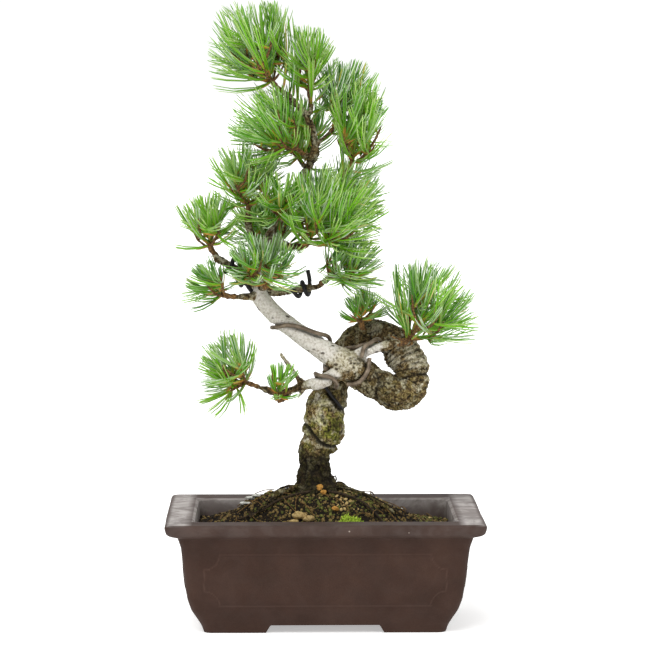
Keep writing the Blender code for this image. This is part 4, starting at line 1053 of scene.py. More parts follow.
soilLook = {
    "lumpRise": 0.7 * mm, "under": 0.7 * mm, "sides": (34, 18), "rings": 34, "calm": 22 * mm,
    "lumpSpans": (13 * mm, 5 * mm), "wallGap": 0.5 * mm,
    "grains": {  # spacing, smallest and largest crumb, seed
        "coarse": (1.6 * mm, 1.3 * mm, 2.9 * mm, 5), "fine": (0.75 * mm, 0.7 * mm, 1.5 * mm, 12),
    },
    "crumbSeed": 21, "litterSeed": 31,
    # Fallen needles: how many, where they may start and end, and the foot of the trunk, which they keep off
    "fallen": 46, "fallenLength": (7, 19), "fallenRadius": 0.26 * mm, "fallenArea": (66, 37),
    "wallAt": (68, 38), "trunkFoot": (-4.5, 14),
    "rootlets": (  # x, y, height over the soil and radius
        ((-6, -11, 1, 0.9), (-16, -16, 1.3, 0.8), (-27, -18, 1.6, 0.75), (-38, -19, 1.2, 0.65),
         (-50, -20, 1, 0.5)),
        ((2, -11, 1, 0.9), (12, -15, 1.4, 0.8), (22, -19, 1.7, 0.7), (30, -24, 1.2, 0.6),
         (35, -30, 0.8, 0.5)),
        ((4, -4, 3, 0.7), (9, -3, 1.6, 0.6), (20, -4, 1.4, 0.5), (34, -7, 1.5, 0.45), (46, -12, 1.0, 0.4)),
        ((5, -8, 2, 0.55), (7, -9, 5.5, 0.45), (9, -9, 6.2, 0.4), (12, -9.5, 5, 0.5)),
        ((4.5, -6, 8, 0.45), (6.5, -7, 9, 0.4), (7, -7.5, 6.5, 0.35)),
        ((-12, 8, 1, 0.8), (-24, 15, 1.3, 0.7), (-36, 22, 1, 0.5)),
    ),
    "tones": (  # dark and light
        ("loamMoist", "0C0803", "1A1309"), ("loamCrumbs", "1D150A", "372A15"),
        ("clayGrainsBrown", "46371C", "857044"), ("grainsMossy", "26270D", "6F7035"),
        ("clayGrainsOchre", "846A38", "D0B982"),
    ),
    "stones": {  # dark and light tone, then x, y, height over the soil, half sizes and seed
        "pale": ("77776D", "D9D9D2", [  # flat flakes
            (x, y, 1.3, (size, size * 0.8, size * 0.35), seed) for x, y, size, seed in (
                (-46, -4, 2.6, 20), (-42.5, -2, 3.0, 21), (-39, -4, 2.3, 22), (-43.5, -8, 1.8, 23),
                (44, 9, 1.7, 24))]),
        "cream": ("775F36", "BCA571", [
            (-14.5, -30, 1.4, (4.2, 2.8, 2.2), 1), (-9, -32, 1.2, (3.4, 2.4, 2.0), 2),
            (-17.5, -32.5, 0.9, (2.6, 2.0, 1.5), 12), (31, -33, 0.8, (2.0, 1.7, 1.5), 3),
            (-31, 14, 0.9, (2.6, 2.2, 1.6), 9)]),
        "orange": ("855A22", "B98A44", [
            (-3, -10.5, 2.6, (2.6, 1.8, 2.2), 4), (-0.5, -13, 1.0, (1.9, 1.6, 1.5), 5),
            (6, -24, 0.7, (1.9, 1.8, 1.4), 6), (24, 20, 0.7, (2.2, 1.8, 1.5), 8)]),
    },
}
mossLook = {
    # Each cushion's place and reach. The seeds of their shapes count up from the first.
    "cushions": ((11.6, -35, 2.7), (15.6, -36, 3.5), (19.8, -35, 2.6), (17, -32, 3.0), (13, -31, 2.4),
                 (-24, 27, 2.6), (-20, 29, 2.0)),
    "firstSeed": 10, "spacing": 0.55 * mm, "height": 2.9 * mm, "leaves": 4, "seed": 4,
}


def speckledMaterial(name, dark, light, scale=900, lightFrom=0.7, rough=0.93, shine=0.25):
    # Crumbs of loam, fired clay, stone, dead needles and bark: quite matt, with specks of about 1 mm.
    # The moss is the same with a soft gloss and larger clouds of colour.
    material, tree, shader, place = newMaterial(name, Roughness=rough, Specular_IOR_Level=shine)
    tint = addNode(tree, "ShaderNodeTexNoise", place, Scale=scale, Detail=2)
    tone = addNode(tree, "ShaderNodeValToRGB", tint, stops=((0.3, dark), (lightFrom, light)))
    setInputs(tree, shader, Base_Color=tone)
    return material


def potSection(height):
    # Half the length of the pot's inside at a height, less the gap that the soil keeps.
    rows = sorted((z * mm, half * mm) for half, z, _ in potInside)
    return float(np.interp(height, [z for z, _ in rows], [half for _, half in rows])) - soilLook["wallGap"]


def soilSurface(name, *materials):
    # The soil as one closed lump: a skirt against the pot, and a rough top that dips at the pot's ends.
    look = soilLook
    rings = []
    for height in (10.9, 14.5, 27, 45):
        half = potSection(height * mm)
        rings.append(roundedRing(half, half - narrower, height * mm, 7.5 * mm, look["sides"]))
    half = potSection(56 * mm)
    edge = roundedRing(half, half - narrower, 0, 6.3 * mm, look["sides"])
    foot = soilShape["foot"]
    large, small = look["lumpSpans"]
    for k in range(look["rings"]):
        share = 1 - k / look["rings"]
        ring = []
        for point in edge:
            spot = Vector((foot.x * (1 - share), 0, 0)) + point * share
            rough = (noise.noise(spot / large) + 0.5 * noise.noise(spot / small)) * look["lumpRise"]
            calm = min(1.0, (Vector((spot.x - foot.x, spot.y)).length) / look["calm"])
            ring.append(Vector((spot.x, spot.y, soilHeight(spot.x, spot.y) - look["under"] + rough * calm)))
        rings.append(ring)
    rings.append([Vector((foot.x, 0, soilShape["peak"] - look["under"]))])
    soil = lofted(name, rings, *materials)
    soil.data.shade_smooth()
    return soil


def grainShapes():
    # A few crumbs of twenty faces each, kept in a collection for the tree to pick from.
    group = bpy.data.collections.new("grainShapes")
    bpy.context.scene.collection.children.link(group)
    chance = random.Random(soilLook["crumbSeed"])
    for k in range(4):
        work = bmesh.new()
        bmesh.ops.create_icosphere(work, subdivisions=1, radius=0.5)
        squash = Vector((1, chance.uniform(0.75, 1), chance.uniform(0.6, 0.85)))
        for vertex in work.verts:
            vertex.co = Vector(a * b for a, b in zip(vertex.co, squash)) * chance.uniform(0.82, 1.12)
        mesh = bpy.data.meshes.new(f"crumb{k}")
        work.to_mesh(mesh)
        work.free()
        mesh.shade_flat()
        group.objects.link(bpy.data.objects.new(f"crumb{k}", mesh))
    return group


def grainTree():
    # Scatters crumbs on the parts of a mesh that face up, and deals each one a colour.
    tones = len(soilLook["tones"])
    tree, inputs = newTree("soilGrains", Crumbs="Collection", Spacing=2 * mm, Smallest=mm, Largest=3 * mm,
                           Seed=1, **{f"Tone_{k}": "Material" for k in range(tones)})
    seed = inputs["Seed"]
    lean = addNode(tree, "ShaderNodeSeparateXYZ", addNode(tree, "GeometryNodeInputNormal")).outputs["Z"]
    upwards = addNode(tree, "FunctionNodeCompare", lean, 0.35, data_type="FLOAT", operation="GREATER_THAN")
    spots = addNode(tree, "GeometryNodeDistributePointsOnFaces", inputs["Geometry"], upwards,
                    inputs["Spacing"], 900000.0, Seed=seed, distribute_method="POISSON")
    crumbs = addNode(tree, "GeometryNodeCollectionInfo", inputs["Crumbs"], True, True)
    spin = addNode(tree, "FunctionNodeRandomValue", (0, 0, 0), (math.tau,) * 3, Seed=seed,
                   data_type="FLOAT_VECTOR")
    size = addNode(tree, "FunctionNodeRandomValue", inputs["Smallest"], inputs["Largest"], Seed=seed,
                   data_type="FLOAT")
    placed = addNode(tree, "GeometryNodeInstanceOnPoints", spots, Instance=crumbs, Pick_Instance=True,
                     Rotation=spin, Scale=size)

    # A crumb's colour comes from clouds about 13 mm wide and from luck, and is darker at the damp left end.
    where = addNode(tree, "GeometryNodeInputPosition")
    total = addNode(tree, "ShaderNodeTexNoise", where, Scale=75.0, Detail=2.0)
    luck = addNode(tree, "FunctionNodeRandomValue", -0.42, 0.42, Seed=seed, data_type="FLOAT")
    far = addNode(tree, "ShaderNodeSeparateXYZ", where).outputs["X"]
    damp = addNode(tree, "ShaderNodeMapRange", far, -68 * mm, -34 * mm, -0.34, 0.0)
    for share in (luck, damp):
        total = addNode(tree, "ShaderNodeMath", total, share, operation="ADD")
    tone = addNode(tree, "ShaderNodeMapRange", total, 0.12, 0.95, 0.0, tones - 1.0)
    kept = addNode(tree, "GeometryNodeStoreNamedAttribute", placed, Name="tone", Value=tone,
                   data_type=carried["tone"], domain="INSTANCE")
    shape = addNode(tree, "GeometryNodeRealizeInstances", kept)
    given = addNode(tree, "GeometryNodeInputNamedAttribute", "tone", data_type=carried["tone"])
    for k in range(tones):
        chosen = addNode(tree, "FunctionNodeCompare", given, k, data_type="INT", operation="EQUAL")
        shape = addNode(tree, "GeometryNodeSetMaterial", shape, chosen, inputs[f"Tone {k}"])
    addNode(tree, "NodeGroupOutput", shape)
    return tree


def groundAt(x, y, lift):
    return Vector((x, y, soilHeight(x * mm, y * mm) / mm + lift)) * mm


def addStone(batch, x, y, lift, halves, seed):
    # A worn stone on the soil: a sphere pulled out of true.
    work = bmesh.new()
    bmesh.ops.create_icosphere(work, subdivisions=3, radius=1)
    place = groundAt(x, y, lift)
    offset = Vector((seed * 3.7, seed * 1.3, 0))
    points = []
    for vertex in work.verts:
        swell = 1 + 0.32 * noise.noise(vertex.co * 1.1 + offset) + 0.2 * noise.noise(vertex.co * 2.6 + offset)
        points.append(place + Vector(a * b * mm for a, b in zip(vertex.co * swell, halves)))
    faces = [tuple(v.index for v in face.verts) for face in work.faces]
    work.free()
    batch.add(points, faces)


def mossTree():
    # Short leafy spikes on a small dome.
    tree, inputs = newTree(
        "mossSpikes", Spike="Object", Spacing=0.6 * mm, Height=3 * mm, Seed=3, Moss="Material")
    seed = inputs["Seed"]
    spots = addNode(tree, "GeometryNodeDistributePointsOnFaces", inputs["Geometry"], True,
                    inputs["Spacing"], 3000000.0, Seed=seed, distribute_method="POISSON")
    spike = addNode(tree, "GeometryNodeObjectInfo", inputs["Spike"]).outputs["Geometry"]
    lean = addNode(tree, "FunctionNodeRandomValue", (-0.6, -0.6, -0.3), (0.6, 0.6, 0.3), Seed=seed,
                   data_type="FLOAT_VECTOR")
    aim = addNode(tree, "ShaderNodeVectorMath", spots.outputs["Normal"], lean, operation="ADD")
    turn = addNode(tree, "FunctionNodeAlignRotationToVector", Vector=aim, axis="Z")
    size = addNode(tree, "FunctionNodeRandomValue", 0.55, 1.1, Seed=seed, data_type="FLOAT")
    tall = addNode(tree, "ShaderNodeMath", size, inputs["Height"], operation="MULTIPLY")
    placed = addNode(tree, "GeometryNodeInstanceOnPoints", spots, Instance=spike, Rotation=turn, Scale=tall)
    shape = addNode(tree, "GeometryNodeRealizeInstances", placed)
    shape = addNode(tree, "GeometryNodeSetMaterial", shape, Material=inputs["Moss"])
    addNode(tree, "NodeGroupOutput", shape)
    return tree


def leafyStem():
    # One moss stem, one unit tall: a thin spindle with its leaves.
    batch = Batch()
    ring = [Vector((0.08 * math.cos(t), 0.08 * math.sin(t), 0)) for t in (0, 2.1, 4.2)]
    batch.addLoft([ring, [up]])
    for k in range(mossLook["leaves"]):
        turn = k * 2.4
        out = Vector((math.cos(turn), math.sin(turn), 0))
        side = Vector((-out.y, out.x, 0)) * 0.12
        base = up * (0.15 + 0.17 * k)
        batch.addLoft([[base - side, base + side, base + up * 0.14], [base + out * 0.42 + up * 0.34]])
    stem = batch.build("mossStem")
    stem.hide_render = True
    return stem


def makeSoil():
    tones = [speckledMaterial(*row) for row in soilLook["tones"]]
    soil = soilSurface("soil_bed", tones[0])
    crumbs = grainShapes()
    tree = grainTree()
    for name, (spacing, smallest, largest, seed) in soilLook["grains"].items():
        grains = soilSurface("soil_grains_" + name)
        runTree(grains, tree, Crumbs=crumbs, Spacing=spacing, Smallest=smallest, Largest=largest, Seed=seed,
                **{f"Tone_{k}": tone for k, tone in enumerate(tones)})
        finishPiece(grains, "soil")
    finishPiece(soil, "soil", "soil")
    for crumb in list(crumbs.objects):
        bpy.data.objects.remove(crumb, do_unlink=True)
    bpy.data.collections.remove(crumbs)


def makeLitter():
    # Stones and flakes, fallen needles, brown and dry, and the dark rootlets that run over the soil
    for name, (dark, light, rows) in soilLook["stones"].items():
        batch = Batch()
        for row in rows:
            addStone(batch, *row)
        stones = batch.build("stones_" + name, speckledMaterial(f"stones{name}Worn", dark, light))
        stones.data.shade_smooth()
        finishPiece(stones, "soil")

    chance = random.Random(soilLook["litterSeed"])
    litter, rootlets = Batch(), Batch()
    wallX, wallY = soilLook["wallAt"]
    trunkX, trunkReach = soilLook["trunkFoot"]
    for _ in range(soilLook["fallen"]):
        x, y = [chance.uniform(-half, half) for half in soilLook["fallenArea"]]
        turn = chance.uniform(0, math.tau)
        reach, bow = chance.uniform(*soilLook["fallenLength"]), chance.uniform(-2.5, 2.5)
        line = []
        for share in (0, 0.35, 0.7, 1):
            along, across = (share - 0.5) * reach, bow * math.sin(math.pi * share)
            farX = x + along * math.cos(turn) - across * math.sin(turn)
            farY = y + along * math.sin(turn) + across * math.cos(turn)
            if abs(farX) > wallX or abs(farY) > wallY or math.hypot(farX - trunkX, farY) < trunkReach:
                break
            lift = 0.9 + 1.2 * abs(math.sin(3 * share))
            line.append((groundAt(farX, farY, lift), soilLook["fallenRadius"]))
        else:
            litter.addLoft(sweepRings(smoothLine(line, 2.5 * mm), 5, pressed=False))
    fallen = litter.build("fallen_needles", speckledMaterial("pineNeedleFallenDry", "3F2B14", "7A5F36"))
    finishPiece(fallen, "soil")
    for rows in soilLook["rootlets"]:
        addTwig(rootlets, [(groundAt(x, y, lift), radius * mm) for x, y, lift, radius in rows], chance)
    roots = rootlets.build("rootlets", speckledMaterial("rootBarkDamp", "160F08", "3D3122"))
    roots.data.shade_smooth()
    finishPiece(roots, "root_bark")


def makeMoss():
    # Cushion moss, growing: bright yellow-green leaflets about 1 mm long
    look = mossLook
    moss = speckledMaterial("cushionMossGrowing", "7E9A1E", "B2CB45", 420, 0.6, 0.7, 0.3)
    domes = Batch()
    for k, (x, y, size) in enumerate(look["cushions"]):
        addStone(domes, x, y, -0.3, (size, size * 0.9, size * 0.8), look["firstSeed"] + k)
    cushion = domes.build("moss")
    spike = leafyStem()
    runTree(cushion, mossTree(), Spike=spike, Spacing=look["spacing"], Height=look["height"],
            Seed=look["seed"], Moss=moss)
    bpy.data.objects.remove(spike, do_unlink=True)
    cushion.data.shade_flat()
    finishPiece(cushion, "soil")


makeSoil()
makeLitter()
makeMoss()
report("ground")


# Needles: the CAD's rule again, carried on to finer shoots and single needles

masses = {  # limb, middle, half sizes, shoots, needle length, share of fresh growth
    "needles_tip": ("trunk", (-39, -1, 328), (25, 25, 29), 5, 44, 0.75),
    "needles_top_middle": ("bough_crown_top_middle", (-9, 0, 320), (17, 24, 21), 4, 36, 0.6),
    "needles_top_right": ("bough_crown_top_right", (13, 7, 299), (20, 26, 23), 4, 36, 0.25),
    "needles_upper_left": ("bough_crown_upper_left", (-31, -4, 286), (23, 27, 22), 4, 40, 0.5),
    "needles_upper_right": ("bough_crown_upper_right", (20, -4, 282), (19, 30, 29), 4, 42, 0.6),
    "needles_mid_left": ("bough_crown_mid_left", (-43, -4, 254), (23, 28, 21), 4, 34, 0.7),
    "needles_mid_front": ("bough_crown_mid_front", (-24, -27, 241), (16, 24, 18), 3, 32, 0.3),
    "needles_left": ("bough_crown_left", (-66, -8, 229), (19, 28, 19), 4, 32, 0.75),
    "needles_low_left_crown": ("bough_crown_low_left", (-65, -12, 196), (15, 22, 14), 3, 25, 0.5),
    "needles_front": ("bough_crown_front", (-34, -26, 207), (22, 26, 18), 4, 32, 0.15),
    "needles_centre": ("bough_crown_centre", (4, -20, 238), (30, 30, 25), 5, 42, 0.55),
    "needles_low_right_crown": ("bough_crown_low_right", (13, -6, 206), (20, 32, 19), 4, 33, 0.35),
    "needles_back_low": ("bough_crown_back_low", (-33, 30, 223), (24, 25, 25), 4, 36, 0.4),
    "needles_back_right": ("bough_crown_back_right", (15, 30, 243), (22, 26, 25), 4, 38, 0.4),
    "needles_back_upper": ("bough_crown_back_upper", (-15, 30, 277), (24, 26, 24), 4, 38, 0.5),
    "needles_right": ("bough_low_right", (57, -8, 181), (28, 33, 27), 5, 42, 0.55),
    "needles_loop": ("bough_loop", (22, 0, 180), (15, 16, 12), 2, 20, 0.5),
    "needles_low_left": ("bough_low_left", (-54, -5, 143), (17, 30, 25), 4, 32, 0.4),
    "needles_low_inner": ("twig_low_inner", (-24, -16, 139), (11, 18, 13), 2, 21, 0.6),
}
needleLook = {
    # Shoots: the room that their middles keep to, their leads and the finer shoots beside them
    "stemLength": 4 * mm, "lead": 11 * mm, "shootPowers": (2.6, 2.6), "sideShoots": 2, "sideReach": (7, 15),
    # Bundles of a shoot and of a finer one, how far up the lead they reach, and where they are fewer or more
    "bundles": 14, "sideBundles": 6, "crowded": 0.6, "fan": math.radians(100),
    "thin": {"needles_right": 0.6, "needles_loop": 1.2, "needles_low_left": 0.9},
    # How far apart bundles stand along twigs and along the crown's young limbs, and which limbs these are
    "clothed": 4.5 * mm, "clothedLimb": 2.4 * mm, "limbReach": 1.3, "firstClothedRow": 38.5,
    "clothedLimbs": ("trunk", "bough_crown_upper_left", "bough_crown_upper_right", "bough_crown_top_middle",
                     "bough_crown_top_right", "bough_crown_back_upper", "bough_crown_centre",
                     "bough_crown_mid_front"),
    # Needles: size, lean, and the room that their tips keep to, round above the middle and square below it
    "width": 0.84 * mm, "widthSpread": 0.12, "longest": 46 * mm, "shortest": 0.55, "ragged": (0.88, 1.17),
    "spread": math.radians(4.6), "bend": 0.26, "tipPowers": (2.2, 4), "sheath": (0.85 * mm, 7 * mm),
    "boxHalf": (88.5 * mm, 57.5 * mm), "boxTop": 356.1 * mm,
    "mixed": 0.3, "strawShare": 0.012,
    "tints": {  # outer face, inner faces with their bloom
        "fresh": ("68A60C", "B0CE78"), "mid": ("508E0C", "A2C47E"), "deep": ("366E0C", "88AC70"),
        "bloom": ("7AA449", "C8DABC"), "straw": ("B5A93A", "C4BE78"),
    },
    # Shoots that the photo shows beside those of the rule: place from the stem's end, and direction
    "besides": {
        "needles_right": (((-5, -7, -1), (-0.75, -0.45, 0.3)), ((1, -9, -3), (-0.35, -0.8, -0.1))),
        "needles_low_inner": (((-1, -2, 0), (-0.5, -0.4, 0.5)), ((2, -1, 0), (0.7, -0.3, 0.3))),
        "needles_low_left": (((-3, -4, -2), (-0.8, -0.3, -0.4)),),
        "needles_loop": (((-2, -4, -1), (-0.6, -0.5, 0.5)),),
    },
    "widthSeed": 11, "sheathSeed": 5,
}
shootShape = ((0.0, 1.2), (0.33, 2.1), (0.7, 1.9), (1.0, 1.1))  # share of the lead, and the room it takes
spaces = {name: (Vector(row[1]) * mm, Vector(row[2]) * mm) for name, row in masses.items()}


def turnedFrom(axis, tilt, turn):
    helper = up if abs(axis.z) < 0.9 else Vector((0, 1, 0))
    side = axis.cross(helper).normalized()
    other = axis.cross(side)
    across = side * math.cos(turn) + other * math.sin(turn)
    return (axis * math.cos(tilt) + across * math.sin(tilt)).normalized()


def inSpace(point, middle, halves, powers):
    # Whether a point lies in a mass and in the whole tree's box. The mass is squarer for a higher power,
    # with one power above its middle and one below it.
    halfLength, halfDepth = needleLook["boxHalf"]
    if abs(point.x) > halfLength or abs(point.y) > halfDepth or point.z > needleLook["boxTop"]:
        return False
    power = needleLook[powers][0 if point.z > middle.z else 1]
    return sum(abs((p - m) / h) ** power for p, m, h in zip(point, middle, halves)) <= 1


class Taken:
    # The room already taken up: tapering rods, each with the name of its owner.
    def __init__(self, most=1500):
        self.ends = np.zeros((most, 2, 3))
        self.radii = np.zeros((most, 2))
        self.owners = np.zeros(most, int)
        self.names = []
        self.count = 0

    def add(self, owner, rods):
        if owner not in self.names:
            self.names.append(owner)
        for first, second in zip(rods, rods[1:]):
            self.ends[self.count] = (first[0], second[0])
            self.radii[self.count] = (first[1], second[1])
            self.owners[self.count] = self.names.index(owner)
            self.count += 1

    def leastGap(self, first, second, leaveOut):
        # The least clearance between one rod and the others, apart from those of some owners.
        skip = [self.names.index(name) for name in leaveOut if name in self.names]
        keep = ~np.isin(self.owners[: self.count], skip)
        start, end = self.ends[: self.count, 0][keep], self.ends[: self.count, 1][keep]
        radii = self.radii[: self.count][keep]
        p, q = np.array(first[0]), np.array(second[0])
        d1, d2, r = q - p, end - start, p - start
        a, e = d1 @ d1, np.maximum((d2 * d2).sum(1), 1e-12)
        b, c, f = d2 @ d1, r @ d1, (d2 * r).sum(1)
        s = np.clip((b * f - c * e) / np.maximum(a * e - b * b, 1e-15), 0, 1)
        t = np.clip((b * s + f) / e, 0, 1)
        s = np.clip((b * t - c) / a, 0, 1)
        apart = np.linalg.norm(r + s[:, None] * d1 - t[:, None] * d2, axis=1)
        thick = first[1] * (1 - s) + second[1] * s + radii[:, 0] * (1 - t) + radii[:, 1] * t
        return float((apart - thick).min())


def coreRods(root, axis):
    return [(root + axis * needleLook["lead"] * share, radius * mm) for share, radius in shootShape]


def growStem(name):
    (before, *_), (tip, radius, *_) = ruleLines[masses[name][0]][-2:]
    along = (tip - before).normalized()
    root = tip + along * gap
    bend = root + along * 2 * mm
    aim = (spaces[name][0] - bend).normalized()
    end = bend + (along * 0.4 + aim).normalized() * needleLook["stemLength"]
    return [(root, radius * 0.96), (bend, radius * 0.92), (end, radius * 0.8)]


def growShoots(name, stem, taken):
    # The CAD's own shoots, as (root, axis), and the twigs that carry them, clear of all that is there.
    limb, count = masses[name][0], masses[name][3]
    middle, halves = spaces[name]
    chance = random.Random(name)
    end, thick = stem[-1]
    aim = (middle - end).normalized()
    mainAxis = (aim + up * 0.35).normalized()
    shoots = [(end - mainAxis * 1.5 * mm, mainAxis)]
    twigs = []
    taken.add(name + " 0", coreRods(*shoots[0]))
    firstTurn = chance.uniform(0, math.tau)
    for k in range(count - 1):
        for _ in range(12):
            tilt = math.radians(chance.uniform(48, 80))
            turn = firstTurn + k * math.tau / (count - 1) + chance.uniform(-0.5, 0.5)
            out = turnedFrom(aim, tilt, turn)
            reach = Vector((out.x * halves.x, out.y * halves.y, out.z * halves.z))
            root = end + reach * chance.uniform(0.34, 0.5) + up * 1.5 * mm
            axis = (out * 0.5 + up * 0.5 + aim * 0.35).normalized()
            start = stem[1][0].lerp(end, 0.6)
            twig = [(start, thick * 0.8), (root + axis * 2.5 * mm, thick * 0.65)]
            rods = coreRods(root, axis)
            tests = [(*pair, (name, limb, name + " 0")) for pair in (*zip(rods, rods[1:]), twig)]
            tests.append((rods[0], rods[2], (name,)))
            if not inSpace(rods[2][0], middle, halves * 1.05, "shootPowers"):
                continue
            if all(taken.leastGap(*test) > 1.5 * gap for test in tests):
                taken.add(f"{name} {len(shoots)}", rods)
                taken.add(name, twig)
                shoots.append((root, axis))
                twigs.append(twig)
                break
    return shoots, twigs


def sideShoots(name, shoots, chance):
    # The finer shoots that branch from each of the CAD's, as (start, tip, direction), curving upwards.
    middle, halves = spaces[name]
    found = []
    for root, axis in shoots:
        firstTurn = chance.uniform(0, math.tau)
        for k in range(needleLook["sideShoots"]):
            for _ in range(10):
                tilt = chance.uniform(0.7, 1.2)
                out = turnedFrom(axis, tilt, firstTurn + math.pi * k + chance.uniform(-0.6, 0.6))
                start = root + axis * chance.uniform(-1, 3) * mm
                tip = start + out * chance.uniform(*needleLook["sideReach"]) * mm
                ahead = (out + axis * 0.5 + up * 0.45).normalized()
                if inSpace(tip + ahead * 1.6 * needleLook["lead"], middle, halves * 0.97, "shootPowers"):
                    found.append((start, tip, ahead))
                    break
    return found


def dealtTint(freshShare, chance):
    return "fresh" if chance.random() < freshShare else chance.choice(("mid", "deep", "bloom", "bloom"))


def limbsInside(name):
    # The stretches of the crown's young limbs that pass through a mass: start, end, radius and the limb.
    middle, halves = spaces[name]
    halves = halves * needleLook["limbReach"]
    return [(a, b, radius, limb) for limb in needleLook["clothedLimbs"]
            for (a, radius, row), (b, _, _) in zip(ruleLines[limb], ruleLines[limb][1:])
            if (limb != "trunk" or row >= needleLook["firstClothedRow"])
            and all(inSpace(point, middle, halves, "shootPowers") for point in (a, b))]


def growBundles(name, shoots, clothed, chance, room):
    # Every bundle of five needles, as (start, direction, length, lift, spread, tints). The lowest on a shoot
    # stand out widely, those along twigs stand across them, and all bend towards the shoot's direction.
    look = needleLook
    middle, halves = spaces[name]
    full, freshShare = masses[name][4] * mm, masses[name][5]
    seats = []
    for root, axis, count in shoots:
        tint = dealtTint(freshShare, chance)
        inward = (axis * 0.75 + up * 0.55).normalized()
        for k in range(count):
            share = (k + 0.5) / count * look["crowded"]
            wide = look["fan"] * (1 - share / look["crowded"]) ** 0.8
            tilt = max(0.04, wide + chance.uniform(-0.14, 0.14))
            out = turnedFrom(axis, tilt, k * goldenTurn + chance.uniform(-0.25, 0.25))
            start = root + axis * look["lead"] * share + out * 0.4 * mm
            seats.append((start, out, tilt, inward, tint, name))
    for start, end, radius, owner in clothed:
        tint = dealtTint(freshShare, chance)
        apart = look["clothed" if owner == name else "clothedLimb"]
        along = (end - start).normalized()
        inward = (along * 0.6 + up * 0.7).normalized()
        firstTurn = chance.uniform(0, math.tau)
        for k in range(round((end - start).length * 0.8 / apart)):
            tilt = chance.uniform(0.7, 1.3)
            out = turnedFrom(along, tilt, firstTurn + k * goldenTurn)
            radial = (out - along * out.dot(along)).normalized()
            seats.append((end - along * k * apart + radial * radius, out, tilt, inward, tint, owner))
    grown = []
    for start, out, tilt, inward, tint, owner in seats:
        length = min(look["longest"], full * chance.uniform(0.9, 1.12) + 2 * mm)
        bend = look["bend"] * chance.uniform(0.3, 1.3) * (0.3 + tilt)
        limit = halves * chance.uniform(*look["ragged"])
        while length > full * look["shortest"]:
            lift = (inward - out * inward.dot(out)) * length * bend
            tip = start + out * length + lift
            clear = inSpace(tip, middle, limit, "tipPowers")
            if clear and room.leastGap((start, 0), (tip, 0), (name, owner)) > 0.2 * mm:
                spread = look["spread"] * (0.35 + 1.1 * chance.random())
                tints = ["straw" if chance.random() < look["strawShare"] else
                         dealtTint(freshShare, chance) if chance.random() < look["mixed"] else tint
                         for _ in range(5)]
                grown.append((start, out, length, lift, spread, tints))
                break
            length -= 2 * mm
    return grown


def needleShape():
    # One needle, one unit long and wide: three flat sides, the outer one towards +X, with a blunt tip.
    rings = [[(x * width, y * width, height) for x, y in ((0.26, -0.5), (0.26, 0.5), (-0.34, 0))]
             for height, width in ((0, 0.8), (0.3, 1), (0.68, 0.95), (0.95, 0.62))]
    batch = Batch()
    batch.addLoft([*rings, [(0, 0, 1)]])
    shape = meshObject("needleShape", batch.points, batch.faces)
    along = [point[2] for point in batch.points]
    inner = [k % 3 > 0 for k in range(len(batch.faces) - 1)] + [True]
    shape.data.attributes.new("along", "FLOAT", "POINT").data.foreach_set("value", along)
    shape.data.attributes.new("inner", "BOOLEAN", "FACE").data.foreach_set("value", inner)
    shape.data.shade_flat()
    shape.hide_render = True
    return shape


def sheathShape():
    # The papery sheath at a bundle's foot, one unit long and wide.
    rings = [[Vector((r * math.cos(t), r * math.sin(t), z)) for t in (0, 1.57, 3.14, 4.71)]
             for z, r in ((0, 0.55), (0.35, 0.95), (0.8, 0.8))]
    shape = lofted("sheathShape", [*rings, [Vector((0, 0, 1.15))]])
    shape.data.attributes.new("along", "FLOAT", "POINT")
    shape.data.attributes.new("inner", "BOOLEAN", "FACE")
    shape.hide_render = True
    return shape


def sprayTree():
    # Stands a shape on every point along the point's direction, bends it upwards and gives it its materials.
    tree, inputs = newTree("needleSprays", Shape="Object", Width=mm, Width_Spread=needleLook["widthSpread"],
                           Seed=2, Outer_Face="Material", Inner_Face="Material")
    direction, outward, lift, size, along, inner = (
        addNode(tree, "GeometryNodeInputNamedAttribute", name, data_type=kind)
        for name, kind in carried.items() if name != "tone")
    shape = addNode(tree, "GeometryNodeObjectInfo", inputs["Shape"]).outputs["Geometry"]
    stand = addNode(tree, "FunctionNodeAlignRotationToVector", Vector=direction, axis="Z")
    turn = addNode(tree, "FunctionNodeAlignRotationToVector", stand, Vector=outward, axis="X", pivot_axis="Z")
    least = addNode(tree, "ShaderNodeMath", 1.0, inputs["Width Spread"], operation="SUBTRACT")
    most = addNode(tree, "ShaderNodeMath", 1.0, inputs["Width Spread"], operation="ADD")
    share = addNode(tree, "FunctionNodeRandomValue", least, most, Seed=inputs["Seed"], data_type="FLOAT")
    wide = addNode(tree, "ShaderNodeMath", share, inputs["Width"], operation="MULTIPLY")
    scale = addNode(tree, "ShaderNodeCombineXYZ", wide, wide, size)
    placed = addNode(tree, "GeometryNodeInstanceOnPoints", inputs["Geometry"], Instance=shape, Rotation=turn,
                     Scale=scale)
    whole = addNode(tree, "GeometryNodeRealizeInstances", placed)
    square = addNode(tree, "ShaderNodeMath", along, along, operation="MULTIPLY")
    raised = addNode(tree, "ShaderNodeVectorMath", lift, square, operation="SCALE")
    whole = addNode(tree, "GeometryNodeSetPosition", whole, Offset=raised)
    whole = addNode(tree, "GeometryNodeSetMaterial", whole, Material=inputs["Outer Face"])
    whole = addNode(tree, "GeometryNodeSetMaterial", whole, inner, inputs["Inner Face"])
    addNode(tree, "NodeGroupOutput", whole)
    return tree


